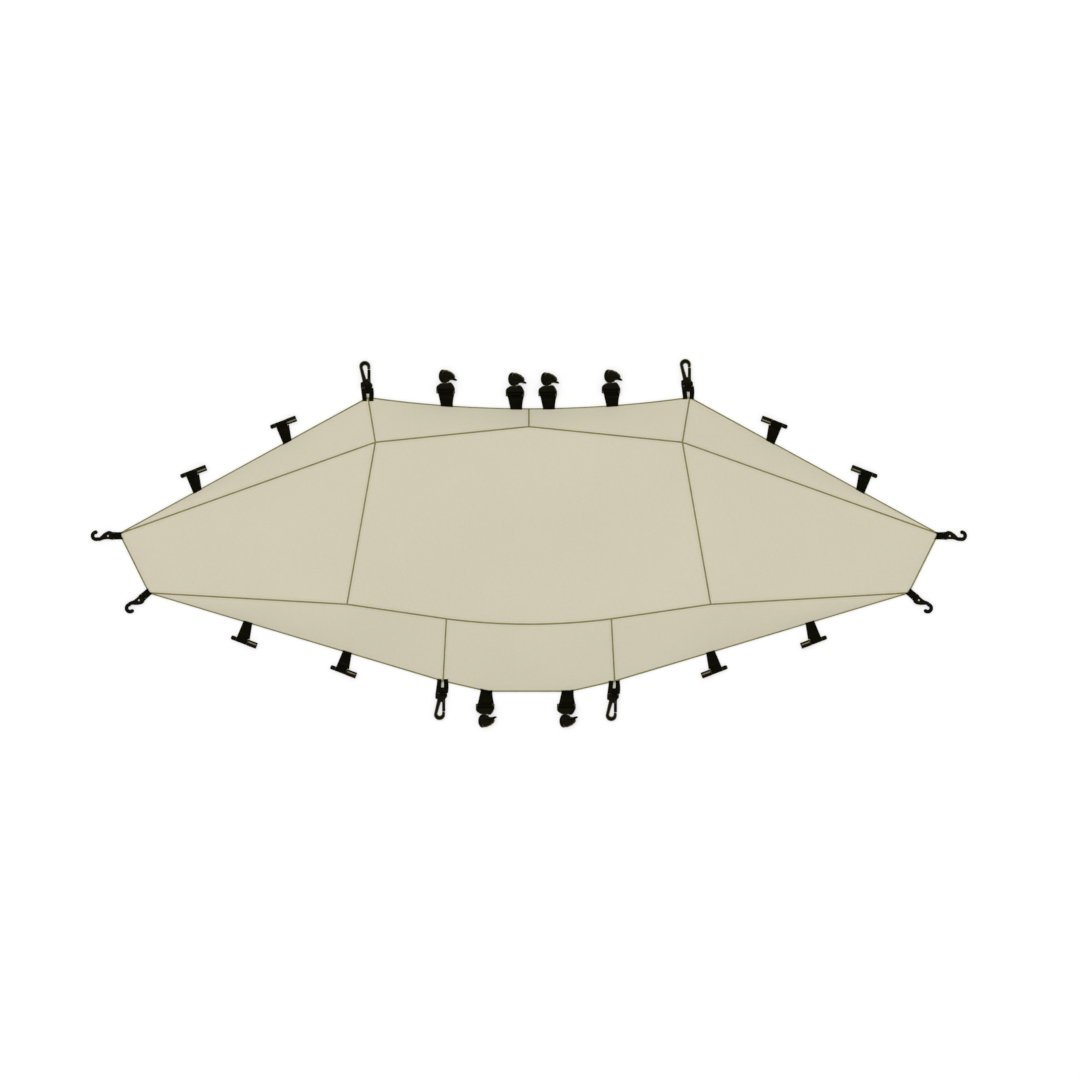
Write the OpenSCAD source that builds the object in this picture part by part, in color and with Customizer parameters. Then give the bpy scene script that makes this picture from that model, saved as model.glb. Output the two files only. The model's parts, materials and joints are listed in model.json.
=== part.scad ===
// Low-crowned fabric cover, sewn from ten panels with piped seams, that is held down all round by
// plastic fittings on webbing loops: snap hooks, swivel clips, toggles and open corner hooks.
// X runs along the cover, +Y points to the rear hem and +Z up. The origin is on the floor below
// the middle of the cover, and every fitting lies flat on that floor.

/* [Hem] */
// Width of the cover between its rear end corners
cover_w = 1637; // [1300:1:2000]
// Depth of the cover from the front hem to the rear corners
cover_d = 587; // [480:1:720]
// Width of the rear hem between the rear corners
rear_hem_w = 643.5; // [520:0.5:780]
// Sag of the rear hem at its middle, towards the cover
rear_hem_sag = 22.7; // [14:0.1:30]
// Distance along Y from the rear corners to the rear end corners
end_setback = 272; // [220:1:330]
// Length along Y of an end hem
end_hem_d = 118.5; // [90:0.5:150]
// Distance along X from a rear end corner in to the front end corner
end_taper = 59; // [30:1:80]
// Width between the front corners
front_corner_w = 343; // [280:1:420]
// Distance along Y from the front hem to the front corners
front_corner_rise = 20.4; // [12:0.1:28]
// Width of the straight front hem
front_hem_w = 165; // [140:1:240]

/* [Seams] */
// Width between the rear corners of the crown panel
crown_rear_w = 614; // [500:1:740]
// Width between the front corners of the crown panel
crown_front_w = 727.5; // [600:0.5:880]
// Distance along Y from the crown panel's front corners to the ends of the front valance's seam
crown_front_fall = 29; // [22:0.5:36]
// Sag of the front valance's seam at its middle
front_seam_sag = 10.8; // [6:0.1:16]
// Depth along Y of the rear valance at the rear corners
rear_valance_d = 89.3; // [65:0.1:110]
// Depth along Y of the rear valance at its middle
ridge_valance_d = 35.3; // [28:0.1:46]
// Depth along Y of the front valance at its middle
front_valance_d = 133.9; // [105:0.1:160]
// Width between the seams at the front valance's ends
front_seam_w = 330; // [270:1:410]
// Height of the seams round the crown panel
seam_z = 42; // [30:0.5:60]

/* [Cloth] */
// Thickness of the coated cloth
cloth_t = 1.2; // [0.8:0.1:2]
// Rise of the crown panel above its seams
crown_rise = 16; // [8:0.5:24]
// Rise of a side panel above its seams
side_rise = 8; // [4:0.5:14]
// Rise of a valance or gusset above its seams
valance_rise = 3; // [1:0.5:6]
// Diameter of the piping in the seams and the hem
piping_d = 3; // [2.4:0.1:4]

/* [Webbing loops] */
// Thickness of the webbing
webbing_t = 1.2; // [0.9:0.1:1.8]
// Length of webbing sewn under the hem
tail_l = 14; // [10:0.5:20]

/* [Toggles] */
// Diameter of a toggle's shaft
toggle_shaft_d = 6.4; // [5:0.1:8]
// Width of the rim by which a toggle's round end stands out from its shaft
toggle_tip_rim = 1.2; // [0.3:0.05:1.6]
// Length of a toggle's round end
toggle_tip_l = 10.6; // [8:0.1:16]
// Length of a toggle's square end
toggle_block_l = 21.1; // [16:0.1:26]
// Width of a toggle's square end
toggle_block_w = 12.4; // [10:0.1:15]
// Height of a toggle's square end
toggle_block_h = 9; // [8:0.1:11]
// Width of a toggle's loop at the hem
toggle_hem_w = 18.4; // [14:0.1:22]
// Width of a toggle's loop at the shaft
toggle_loop_w = 22.4; // [18:0.1:28]
// Distance along the shaft from the loop's middle at the hem to its middle at the shaft
toggle_loop_shift = 0.8; // [0:0.1:4]
// Width by which a toggle's loop stands out past its eye, below the square end
toggle_flare_w = 3.4; // [0:0.1:5]
// Distance from the hem to a toggle's shaft
toggle_reach = 39.1; // [28:0.1:48]
// Places of the rear toggles, as shares of the slanting rear hem from its end corner
rear_toggle_shares = [0.313, 0.675]; // [0:0.001:1]
// Places of the front toggles, as shares of the slanting front hem from its end corner
front_toggle_shares = [0.336, 0.674]; // [0:0.001:1]
// Angle of the rear toggles' loops away from +Y
toggle_rear_lean = 20.7; // [0:0.1:30]
// Angle of the front toggles' loops away from -Y
toggle_front_lean = 20.7; // [0:0.1:30]

/* [Corner hooks] */
// Diameter of a corner hook's bar
corner_bar_d = 4.8; // [4:0.1:6]
// Width of a corner hook's loop at the hem
corner_hem_w = 14.6; // [11:0.1:17]
// Width of a corner hook's loop at the bar
corner_loop_w = 10; // [8:0.1:12]
// Distance from the hem to a corner hook's bar
corner_reach = 17; // [14:0.5:22]
// Thickness of a corner hook's shank
corner_shank_t = 6.4; // [5.5:0.1:7]
// Diameter of the lashing hole in a corner hook's shank
lashing_hole_d = 4; // [3:0.1:5]
// Radius of a corner hook's bend, to the middle of its rod
corner_bend_r = 7.3; // [6.5:0.1:9]
// Diameter of a corner hook's rod
corner_rod_d = 6.8; // [6:0.1:8]
// Places of the corner hooks, as shares of the end hem from its rear corner
corner_shares = [0.037, 0.985]; // [0:0.001:1]
// Angle of the front corner hooks' loops away from -Y
corner_front_lean = 49.2; // [30:0.1:60]

/* [Snap hooks] */
// Diameter of a snap hook's bar
snap_bar_d = 5.2; // [4.4:0.1:6.2]
// Width of a snap hook's loop at the hem
snap_hem_w = 22; // [19:0.5:26]
// Width of a snap hook's loop at the bar
snap_loop_w = 13; // [11:0.1:15]
// Distance from the hem to a snap hook's bar
snap_reach = 27.5; // [26:0.5:36]
// Thickness of a snap hook
snap_t = 8; // [7:0.1:10]
// Width of the notch in a snap hook's loop
snap_notch_w = 4.4; // [3:0.1:6]
// Length of the notch in a snap hook's loop, out from the hem
snap_notch_l = 12.5; // [8:0.5:15]
// Thickness of a snap hook's gate
gate_t = 4; // [3:0.1:5]
// Diameter of a gate's pin
gate_pin_d = 2.5; // [2:0.1:3]
// Angle to which a gate opens
gate_swing = 18; // [10:1:19]
// Offsets of the rear snap hooks from their corners, along X and out from the hem
rear_snap_offsets = [[-0.2, -4.3], [-2.7, -0.4]]; // [-6:0.1:6]
// Offsets of the front snap hooks from their corners, along X and out from the hem
front_snap_offsets = [[-1, 0.6], [-0.6, 2.6]]; // [-6:0.1:6]

/* [Swivel clips] */
// Diameter of a clip's bar
clip_bar_d = 6; // [5:0.1:7]
// Width of a clip's loop at the hem
clip_hem_w = 24; // [20:0.5:28]
// Width of a clip's loop at the bar
clip_loop_w = 30.7; // [26:0.1:36]
// Distance along the bar from the loop's middle at the hem to its middle at the bar
clip_loop_shift = -2.25; // [-4:0.05:0]
// Distance from the hem to a clip's bar
clip_reach = 31; // [26:0.5:38]
// Thickness of the cap that a clip's base holds over its flange and the loop's eye
clip_cap_t = 1; // [0.8:0.1:1.2]
// Thickness of a clip's head
clip_head_t = 12; // [11:0.1:14]
// Diameter of the swivel's post
swivel_post_d = 7; // [6:0.1:8]
// Width of the flange round the post that keeps it in the base
swivel_lip = 1.2; // [0.8:0.1:1.8]
// Distance along the bar from the loop's middle at the hem to the swivel's axis
swivel_shift = -4; // [-6:0.1:-2]
// Places of the rear clips along the rear hem
rear_clip_x = [-164.3, -25.5, 39.9, 166.5]; // [-240:0.1:240]
// Places of the front clips along the front hem
front_clip_x = [-85.2, 77.2]; // [-90:0.1:90]

/* [Clearances] */
// Gap round a shaft that turns in a hole
shaft_gap = 0.08; // [0.04:0.01:0.1]
// Gap between pieces side by side, such as an eye and the frame round it
side_gap = 0.3; // [0.2:0.05:0.6]
// Gap between the cloth's edge and the piping
cloth_gap = 0.25; // [0.15:0.05:0.5]
// Gap between an eye and the crosspiece that swings past it
swing_gap = 0.4; // [0.3:0.1:1.2]

/* [Hidden] */
$fn = 48;

cloth_colour = [0.816, 0.792, 0.706];
piping_colour = [0.39, 0.38, 0.23];
webbing_colour = [0.08, 0.08, 0.06];
plastic_colour = [0.04, 0.04, 0.03];
pin_colour = [0.3, 0.3, 0.28];

// Heights of the hem, whose piping lies on the webbing tails
piping_r = piping_d / 2;
hem_gap = 0.1;
hem_z = webbing_t + hem_gap + piping_r;

// Radii of the curved rear hem and of the front valance's curved seam
rear_arc_r = arc_r(rear_hem_w, rear_hem_sag);
front_arc_r = arc_r(front_seam_w, front_seam_sag);

// Corners of the left half of the cover, on its hem and on its seams
rear_y = cover_d / 2;
front_y = -cover_d / 2;
rear_corner = [-rear_hem_w / 2, rear_y, hem_z];
rear_middle = [0, rear_y - rear_hem_sag, hem_z];
end_rear = [-cover_w / 2, rear_y - end_setback, hem_z];
end_front = [end_rear.x + end_taper, end_rear.y - end_hem_d, hem_z];
front_corner = [-front_corner_w / 2, front_y + front_corner_rise, hem_z];
front_turn = [-front_hem_w / 2, front_y, hem_z];
crown_rear = [-crown_rear_w / 2, rear_y - rear_valance_d, seam_z];
ridge = [0, rear_middle.y - ridge_valance_d, seam_z];
crown_middle = [0, front_y + front_valance_d, seam_z];
front_seam = front_arc(-front_seam_w / 2);
crown_front = [-crown_front_w / 2, front_seam.y + crown_front_fall, seam_z];

// Room that a panel's edge keeps from a seam's line, with an allowance for slanting edges
edge_room = (piping_r + cloth_gap) * 1.2;
// Width at which a gusset's pointed end stops
gusset_point_w = 2;
// Gap between two lengths of piping that meet
piping_gap = 0.2;
// Number of lengths of piping along the curved rear hem
rear_hem_lengths = 8;

// Depth by which the flat run of a loop lies below the round of its eye
fold_step = 0.05;
// Diameter of a toggle's round end
toggle_tip_d = toggle_shaft_d + 2 * toggle_tip_rim;
// Depth of the sloping chamfer on a toggle's round end
toggle_chamfer = 1.5;
// Shift of a toggle's square end towards the hem
toggle_block_shift = -1.4;
// Recess moulded into a toggle's square end, and its shift towards the hem
toggle_slot = [toggle_block_l - 2, 3, 2];
toggle_slot_shift = -3;

// Holes in the webbing for the bars, and the outer radius of the eyes round them
toggle_bore_r = toggle_shaft_d / 2 + shaft_gap;
corner_bore_r = corner_bar_d / 2 + shaft_gap;
snap_bore_r = snap_bar_d / 2 + shaft_gap;
clip_bore_r = clip_bar_d / 2 + shaft_gap;
function eye_r(bore_r) = bore_r + webbing_t;

// A clip's base is thick enough for its cap to clear the swivel's flange and the loop's eye
swivel_flange_d = swivel_post_d + 2 * swivel_lip;
cap_z = max(swivel_flange_d / 2, eye_r(clip_bore_r)) + side_gap;
clip_base_t = max(clip_head_t, 2 * (cap_z + clip_cap_t));

// Diameter of the ball at the tip of a corner hook's rod
corner_tip_d = corner_rod_d + 0.3;

// Heights of the bars, at which the eye and the fitting both clear the floor
function bar_z(bore_r, fitting_t) = max(eye_r(bore_r) + fold_step, fitting_t / 2);
toggle_z = bar_z(toggle_bore_r, max(toggle_block_h, toggle_tip_d));
corner_z = bar_z(corner_bore_r, max(corner_tip_d, corner_shank_t));
snap_z = bar_z(snap_bore_r, snap_t);
clip_z = bar_z(clip_bore_r, clip_base_t);

// Distance from a bar to the crosspiece beyond it
function crosspiece(bore_r) = eye_r(bore_r) + swing_gap;
// A frame's arms end in knuckles round the bar, a little slimmer than the frame, and the loop is
// narrowed to swing between them
knuckle_step = 0.15;
function knuckle_r(fitting_t) = fitting_t / 2 - knuckle_step;
function narrow_l(fitting_t) = fitting_t / 2 + side_gap;

// Widths of the frames that hold the bars
corner_window = corner_loop_w / 2 + side_gap;
corner_arm_w = 2.6;
snap_window = snap_loop_w / 2 + side_gap;
snap_left_arm_w = 7.7;
snap_right_arm_w = 2.4;
clip_window = clip_loop_w / 2 + side_gap;
clip_arm_w = 3.1;
// Widths by which a clip's loop stands out past its eye on the right, and in from it on the left
clip_flare = [2.3, 0.8];

// A snap hook above its crosspiece: the pin, the gate and the bow, measured from the bar
gate_pin = [2.2, 11.5];
gate_eye_r = 3.3;
gate_l = 21.2;
gate_slot = gate_t + 2 * side_gap;
gate_slot_w = 2 * gate_eye_r + side_gap;
snap_base_w = 3.2;
bow_outer = [-6.2, 39.2, 11.2];
bow_inner = [-5.8, 37, 4.4];
nose_y = gate_pin.y + gate_l + side_gap;

// A clip's swivel, measured from the bar
flange_y = eye_r(clip_bore_r) + swing_gap;
flange_t = 2.5;
dome_y = flange_y + flange_t + side_gap;
dome_t = 8;
neck_y = dome_y + dome_t + side_gap;

// The places of the fittings: a point on the hem, the turn of +Y to the loop's direction, and
// whether the fitting is mirrored
left_toggles = concat(
    [for (t = rear_toggle_shares) [mix(end_rear, rear_corner, t), toggle_rear_lean, false]],
    [for (t = front_toggle_shares) [mix(end_front, front_corner, t), 180 - toggle_front_lean, true]]);
toggle_spots = concat(left_toggles, [for (s = left_toggles) flipped(s)]);
left_corners = [
    [mix(end_rear, end_front, corner_shares[0]), 90, false],
    [mix(end_rear, end_front, corner_shares[1]), 180 - corner_front_lean, true]];
corner_spots = concat(left_corners, [for (s = left_corners) flipped(s)]);
snap_spots = [
    [moved(rear_corner, rear_snap_offsets[0], 1), 0, false],
    [moved(across(rear_corner), rear_snap_offsets[1], 1), 0, false],
    [moved(front_corner, front_snap_offsets[0], -1), 180, true],
    [moved(across(front_corner), front_snap_offsets[1], -1), 180, true]];
clip_spots = concat(
    [for (x = rear_clip_x) [rear_arc(x), 0, false]],
    [for (x = front_clip_x) [[x, front_y, hem_z], 180, true]]);

toggle_names = [for (side = ["left", "right"], row = ["rear", "front"], place = ["outer", "inner"])
    str(row, "_", side, "_", place)];
corner_names = ["rear_left", "front_left", "rear_right", "front_right"];
snap_names = ["rear_left", "rear_right", "front_left", "front_right"];
clip_names = ["rear_1", "rear_2", "rear_3", "rear_4", "front_1", "front_2"];

NODES = concat(
    ["crown_panel", "side_panel_left", "side_panel_right", "rear_gusset_left", "rear_gusset_right",
     "rear_valance_left", "rear_valance_right", "front_gusset_left", "front_gusset_right",
     "front_valance", "seam_piping", "hem_piping", "toggle_loops", "corner_hook_loops",
     "snap_hook_loops", "clip_loops"],
    [for (n = toggle_names) str("toggle_", n)],
    [for (n = corner_names) str("corner_hook_", n)],
    [for (n = snap_names) str("snap_hook_", n)],
    [for (n = snap_names) str("snap_gate_", n)],
    [for (n = snap_names) str("snap_pin_", n)],
    [for (n = clip_names) str("clip_base_", n)],
    [for (n = clip_names) str("clip_head_", n)]);
node = "all";

function shown(name) = node == "all" || node == name;
function mix(p, q, t) = p + (q - p) * t;
function across(p) = [-p.x, p.y, p.z];
function moved(p, offset, out) = p + [offset.x, out * offset.y, 0];
function flipped(spot) = [across(spot[0]), -spot[1], !spot[2]];
// A rise that is 0 at both ends and 1 in the middle
function arch(t) = 4 * t * (1 - t);
// Radius of the arc over a chord with this sag, and the arc's height at x above its middle
function arc_r(chord, sag) = (chord * chord / 4 + sag * sag) / (2 * sag);
function arc_y(x, r) = r - sqrt(r * r - x * x);
function rear_arc(x) = [x, rear_middle.y + arc_y(x, rear_arc_r), hem_z];
function front_arc(x) = [x, crown_middle.y + arc_y(x, front_arc_r), seam_z];
// The crown panel's front seam: an arc along the front valance, and a straight run to each corner
function crown_front_seam(x) = abs(x) <= front_seam_w / 2
    ? front_arc(x)
    : let(out = (abs(x) - front_seam_w / 2) / (crown_front_w / 2 - front_seam_w / 2))
      [x, front_seam.y + out * crown_front_fall, seam_z];
// Points of an arc round a centre, from one angle to another
function arc_points(centre, r, from, to, steps) = [for (k = [0:steps])
    let(a = from + (to - from) * k / steps) [centre.x + r * cos(a), centre.y + r * sin(a)]];
// Even shares from one value to another
function shares(from, to, steps) = [for (k = [0:steps]) from + (to - from) * k / steps];
// Share of a length that leaves the room round a seam
function trim(l) = edge_room / l;
// Length of piping left out where it meets another at a sharp angle
function meeting(p, q, other) =
    let(a = q - p, b = other - p, turn = norm(cross(a, b)) / (norm(a) * norm(b)))
    (piping_d + piping_gap) / turn;

// A cloth panel between a front rail and a rear rail, raised between its edges
module panel(front, rear, rise, across_steps) {
    along = len(front) - 1;
    wide = across_steps + 1;
    rows = [for (i = [0:along])
        let(w = norm([rear[i].x - front[i].x, rear[i].y - front[i].y]))
        [for (t = shares(trim(w), 1 - trim(w), across_steps))
            mix(front[i], rear[i], t) + [0, 0, rise * arch(i / along) * arch(t)]]];
    half = [0, 0, cloth_t / 2];
    upper = [for (row = rows, p = row) p + half];
    lower = [for (row = rows, p = row) p - half];
    under = len(upper);
    rim = concat(
        [for (i = [0:along]) i * wide],
        [for (j = [1:across_steps]) along * wide + j],
        [for (i = [1:along]) (along - i) * wide + across_steps],
        [for (j = [1:across_steps - 1]) across_steps - j]);
    faces = concat(
        [for (i = [0:along - 1], j = [0:across_steps - 1]) let(a = i * wide + j) [a, a + 1, a + wide]],
        [for (i = [0:along - 1], j = [0:across_steps - 1]) let(a = i * wide + j)
            [a + 1, a + wide + 1, a + wide]],
        [for (i = [0:along - 1], j = [0:across_steps - 1]) let(a = under + i * wide + j)
            [a, a + wide, a + 1]],
        [for (i = [0:along - 1], j = [0:across_steps - 1]) let(a = under + i * wide + j)
            [a + 1, a + wide, a + wide + 1]],
        [for (k = [0:len(rim) - 1]) let(a = rim[k], b = rim[(k + 1) % len(rim)]) [a, b, b + under]],
        [for (k = [0:len(rim) - 1]) let(a = rim[k], b = rim[(k + 1) % len(rim)])
            [a, b + under, a + under]]);
    color(cloth_colour)
        polyhedron(concat(upper, lower), faces);
}

module crown_panel() {
    along = shares(trim(crown_rear_w), 1 - trim(crown_rear_w), 16);
    front = [for (t = along) crown_front_seam((t - 0.5) * crown_front_w)];
    rear = [for (t = along)
        t < 0.5 ? mix(crown_rear, ridge, 2 * t) : mix(ridge, across(crown_rear), 2 * t - 1)];
    panel(front, rear, crown_rise, 8);
}

module side_panel() {
    room = trim(norm(crown_front - end_front));
    along = shares(room, 1 - room, 12);
    front = [for (t = along) mix(end_front, crown_front, t)];
    rear = [for (t = along) mix(end_rear, crown_rear, t)];
    panel(front, rear, side_rise, 6);
}

module rear_gusset() {
    point = (2 * edge_room + gusset_point_w) / norm(rear_corner - crown_rear);
    along = shares(point, 1 - trim(norm(rear_corner - end_rear)), 12);
    front = [for (t = along) mix(end_rear, crown_rear, t)];
    rear = [for (t = along) mix(end_rear, rear_corner, t)];
    panel(front, rear, valance_rise, 3);
}

module rear_valance() {
    room = trim(crown_rear_w / 2);
    along = shares(room, 1 - room, 10);
    front = [for (t = along) mix(crown_rear, ridge, t)];
    rear = [for (t = along) rear_arc(rear_corner.x * (1 - t))];
    panel(front, rear, valance_rise, 3);
}

module front_gusset() {
    point = (2 * edge_room + gusset_point_w) / norm(front_corner - front_seam);
    seam_turn = (crown_front.x - end_front.x) / (front_seam.x - end_front.x);
    last = 1 - trim(norm(front_corner - end_front));
    along = concat(shares(point, seam_turn, 8), [for (t = shares(seam_turn, last, 4)) if (t > seam_turn) t]);
    front = [for (t = along) mix(end_front, front_corner, t)];
    rear = [for (t = along) t <= seam_turn
        ? mix(end_front, crown_front, t / seam_turn)
        : mix(crown_front, front_seam, (t - seam_turn) / (1 - seam_turn))];
    panel(front, rear, valance_rise, 3);
}

module front_valance() {
    turn = front_hem_w / front_corner_w;
    last = 1 - 2 * trim(front_corner_w);
    right = concat(shares(0, turn, 4), [for (t = shares(turn, last, 2)) if (t > turn) t]);
    along = concat([for (k = [1:len(right) - 1]) -right[len(right) - k]], right);
    front = [for (t = along) let(x = t * front_corner_w / 2, out = max(0, abs(t) - turn) / (1 - turn))
        [x, front_y + out * front_corner_rise, hem_z]];
    rear = [for (t = along) front_arc(t * front_seam_w / 2)];
    panel(front, rear, valance_rise, 4);
}

// A straight length of piping, stopped short of its two ends
module piping(p, q, short_p, short_q) {
    run = q - p;
    l = norm(run);
    color(piping_colour)
        translate(p)
            rotate([0, acos(run.z / l), atan2(run.y, run.x)])
                translate([0, 0, short_p])
                    cylinder(h = l - short_p - short_q, r = piping_r);
}

// A length of piping along an arc that sags towards -Y, from one x to another
module arc_piping(middle, r, from_x, to_x) {
    from = asin(from_x / r);
    color(piping_colour)
        translate(middle + [0, r, 0])
            rotate(from - 90)
                rotate_extrude(angle = asin(to_x / r) - from)
                    translate([r, 0])
                        circle(piping_r);
}

module both_sides() {
    children();
    mirror([1, 0, 0])
        children();
}

module seam_piping() {
    butt = piping_d + piping_gap;
    both_sides() {
        piping(rear_corner, crown_rear, butt, butt);
        piping(crown_rear, ridge, butt, piping_gap);
        piping(end_rear, crown_rear, meeting(end_rear, crown_rear, rear_corner), butt);
        piping(crown_rear, crown_front, butt, butt);
        piping(end_front, crown_front, meeting(end_front, crown_front, front_corner), butt);
        piping(crown_front, front_seam, piping_gap, piping_gap);
        piping(front_seam, front_corner, butt, butt);
    }
    piping(rear_middle, ridge, butt, butt);
    arc_piping(crown_middle, front_arc_r, front_seam.x, -front_seam.x);
}

module hem_piping() {
    butt = piping_d / 2 + piping_gap;
    both_sides() {
        piping(rear_corner, end_rear, butt, butt);
        piping(end_rear, end_front, butt, butt);
        piping(end_front, front_corner, butt, butt);
        piping(front_corner, front_turn, butt, butt);
    }
    piping(front_turn, across(front_turn), butt, butt);
    step = (rear_hem_w - 2 * butt) / rear_hem_lengths;
    for (k = [0:rear_hem_lengths - 1])
        arc_piping(rear_middle, rear_arc_r, rear_corner.x + butt + k * step,
            rear_corner.x + butt + (k + 1) * step - piping_gap);
}

// Puts a fitting, drawn pointing along +Y from the hem, at its place on the hem
module at_spot(spot) {
    translate([spot[0].x, spot[0].y, 0])
        rotate(spot[1])
            if (spot[2])
                mirror([1, 0, 0])
                    children();
            else
                children();
}

// A webbing loop: its outline in plan, cut to the side view of a tail, a flat run and an eye
module webbing_loop(outline, reach, height, bore_r) {
    lift = height - eye_r(bore_r) - fold_step;
    widest = max([for (p = outline) abs(p.x)]) + 1;
    color(webbing_colour)
        intersection() {
            linear_extrude(height + eye_r(bore_r) + 1)
                polygon(outline);
            rotate([90, 0, 90])
                linear_extrude(2 * widest, center = true)
                    difference() {
                        union() {
                            polygon([[-tail_l - 1, 0], [0, 0], [reach, lift], [reach, lift + webbing_t],
                                     [0, webbing_t], [-tail_l - 1, webbing_t]]);
                            translate([reach, height])
                                circle(eye_r(bore_r));
                        }
                        translate([reach, height])
                            circle(bore_r);
                    }
        }
}

module toggle_loop() {
    top = toggle_reach + eye_r(toggle_bore_r) + 1;
    hem = toggle_hem_w / 2;
    left = toggle_loop_shift - toggle_loop_w / 2;
    right = toggle_loop_shift + toggle_loop_w / 2;
    neck = toggle_reach + toggle_block_shift - toggle_block_w / 2 - side_gap;
    webbing_loop([[-hem, -tail_l], [hem, -tail_l], [hem, 0], [right + toggle_flare_w, neck - 1], [right, neck],
                  [right, top], [left, top], [left, toggle_reach], [-hem, 0]],
        toggle_reach, toggle_z, toggle_bore_r);
}

module corner_hook_loop() {
    top = corner_reach + eye_r(corner_bore_r) + 1;
    neck = corner_reach - narrow_l(corner_shank_t);
    hem = corner_hem_w / 2;
    bar = corner_loop_w / 2;
    webbing_loop([[-hem, -tail_l], [hem, -tail_l], [hem, neck - 1], [bar, neck], [bar, top],
                  [-bar, top], [-bar, neck], [-hem, neck - 1]],
        corner_reach, corner_z, corner_bore_r);
}

module snap_hook_loop() {
    top = snap_reach + eye_r(snap_bore_r) + 1;
    neck = snap_reach - narrow_l(snap_t);
    hem = snap_hem_w / 2;
    bar = snap_loop_w / 2;
    left = -snap_window - snap_left_arm_w;
    notch = snap_notch_w / 2;
    webbing_loop(concat(
            [[-hem, -tail_l], [-notch, -tail_l], [-notch, snap_notch_l - notch]],
            arc_points([0, snap_notch_l - notch], notch, 150, 30, 4),
            [[notch, snap_notch_l - notch], [notch, -tail_l], [hem, -tail_l], [hem, neck - 1],
             [bar, neck], [bar, top], [-bar, top], [-bar, neck], [left + 0.5, neck - 1], [-hem, 0]]),
        snap_reach, snap_z, snap_bore_r);
}

module clip_loop() {
    top = clip_reach + eye_r(clip_bore_r) + 1;
    neck = clip_reach - narrow_l(clip_base_t);
    hem = clip_hem_w / 2;
    left = clip_loop_shift - clip_loop_w / 2;
    right = clip_loop_shift + clip_loop_w / 2;
    webbing_loop([[-hem, -tail_l], [hem, -tail_l], [hem, 0], [right + clip_flare[0], neck - 1], [right, neck],
                  [right, top], [left, top], [left, neck], [left + clip_flare[1], neck - 1], [-hem, 0]],
        clip_reach, clip_z, clip_bore_r);
}

// A bar along X, between two places
module bar(from, to, r) {
    translate([from, 0, 0])
        rotate([0, 90, 0])
            cylinder(h = to - from, r = r);
}

// The two knuckles and the bar at the end of a frame with this window between its arms
module knuckles(left, window_left, window_right, right, bar_d, fitting_t) {
    bar(left, window_left, knuckle_r(fitting_t));
    bar(window_right, right, knuckle_r(fitting_t));
    bar(window_left - 1, window_right + 1, bar_d / 2);
}

// A toggle: a shaft in the loop's eye, a round end on one side and a square end on the other
module toggle() {
    tip = -toggle_loop_w / 2 - side_gap;
    block = toggle_loop_w / 2 + side_gap;
    tip_end = tip - toggle_tip_l;
    color(plastic_colour)
        translate([toggle_loop_shift, toggle_reach, toggle_z])
            difference() {
                union() {
                    bar(tip - 1, block + 1, toggle_shaft_d / 2);
                    bar(tip_end + toggle_chamfer, tip, toggle_tip_d / 2);
                    translate([tip_end, 0, 0])
                        rotate([0, 90, 0])
                            cylinder(h = toggle_chamfer, r1 = toggle_tip_d / 2 - toggle_chamfer,
                                r2 = toggle_tip_d / 2);
                    translate([block, toggle_block_shift - toggle_block_w / 2, -toggle_block_h / 2])
                        cube([toggle_block_l, toggle_block_w, toggle_block_h]);
                }
                translate([block + (toggle_block_l - toggle_slot.x) / 2, toggle_slot_shift - toggle_slot.y / 2,
                           toggle_block_h / 2 - toggle_slot.z])
                    cube([toggle_slot.x, toggle_slot.y, toggle_slot.z + 1]);
            }
}

// An open hook: a frame round the loop's eye, a flat shank with a lashing hole, and a round rod
// bent back on itself. Its points are measured from the bar.
module corner_hook() {
    arm = corner_window + corner_arm_w;
    cross_y = crosspiece(corner_bore_r);
    bend = [0.1, 25.2 + corner_bend_r];
    hole = [-0.4, cross_y + 2.5 + lashing_hole_d / 2];
    shank = [[-arm, 0], [-arm, cross_y - 2], [-6.9, cross_y], [-6.8, 10], [-7, 14], [-7.7, 18],
             [-9.3, bend.y - 10.1], [-10.5, bend.y - 6.1], [-10.2, bend.y - 2.7], [-4.2, bend.y - 3.1],
             [-3.3, bend.y - 6.1], [0.4, bend.y - 10.1], [4.2, 18], [6.9, 14], [9.1, 10],
             [hole.x + lashing_hole_d / 2 + 8.4, hole.y - 2.5], [9.3, cross_y - 1.5], [arm, 0.8], [arm, 0]];
    color(plastic_colour)
        translate([0, corner_reach, corner_z]) {
            difference() {
                linear_extrude(corner_shank_t, center = true)
                    polygon(shank);
                translate([-corner_window, -1, -corner_shank_t])
                    cube([2 * corner_window, cross_y + 1, 2 * corner_shank_t]);
                translate([hole.x, hole.y, -corner_shank_t])
                    cylinder(h = 2 * corner_shank_t, d = lashing_hole_d);
            }
            knuckles(-arm, -corner_window, corner_window, arm, corner_bar_d, corner_shank_t);
            translate([bend.x, bend.y, 0]) {
                rotate(5)
                    rotate_extrude(angle = 222)
                        translate([corner_bend_r, 0])
                            circle(d = corner_rod_d);
                rotate(5)
                    translate([corner_bend_r, 0, 0])
                        sphere(d = corner_tip_d);
            }
        }
}

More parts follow.
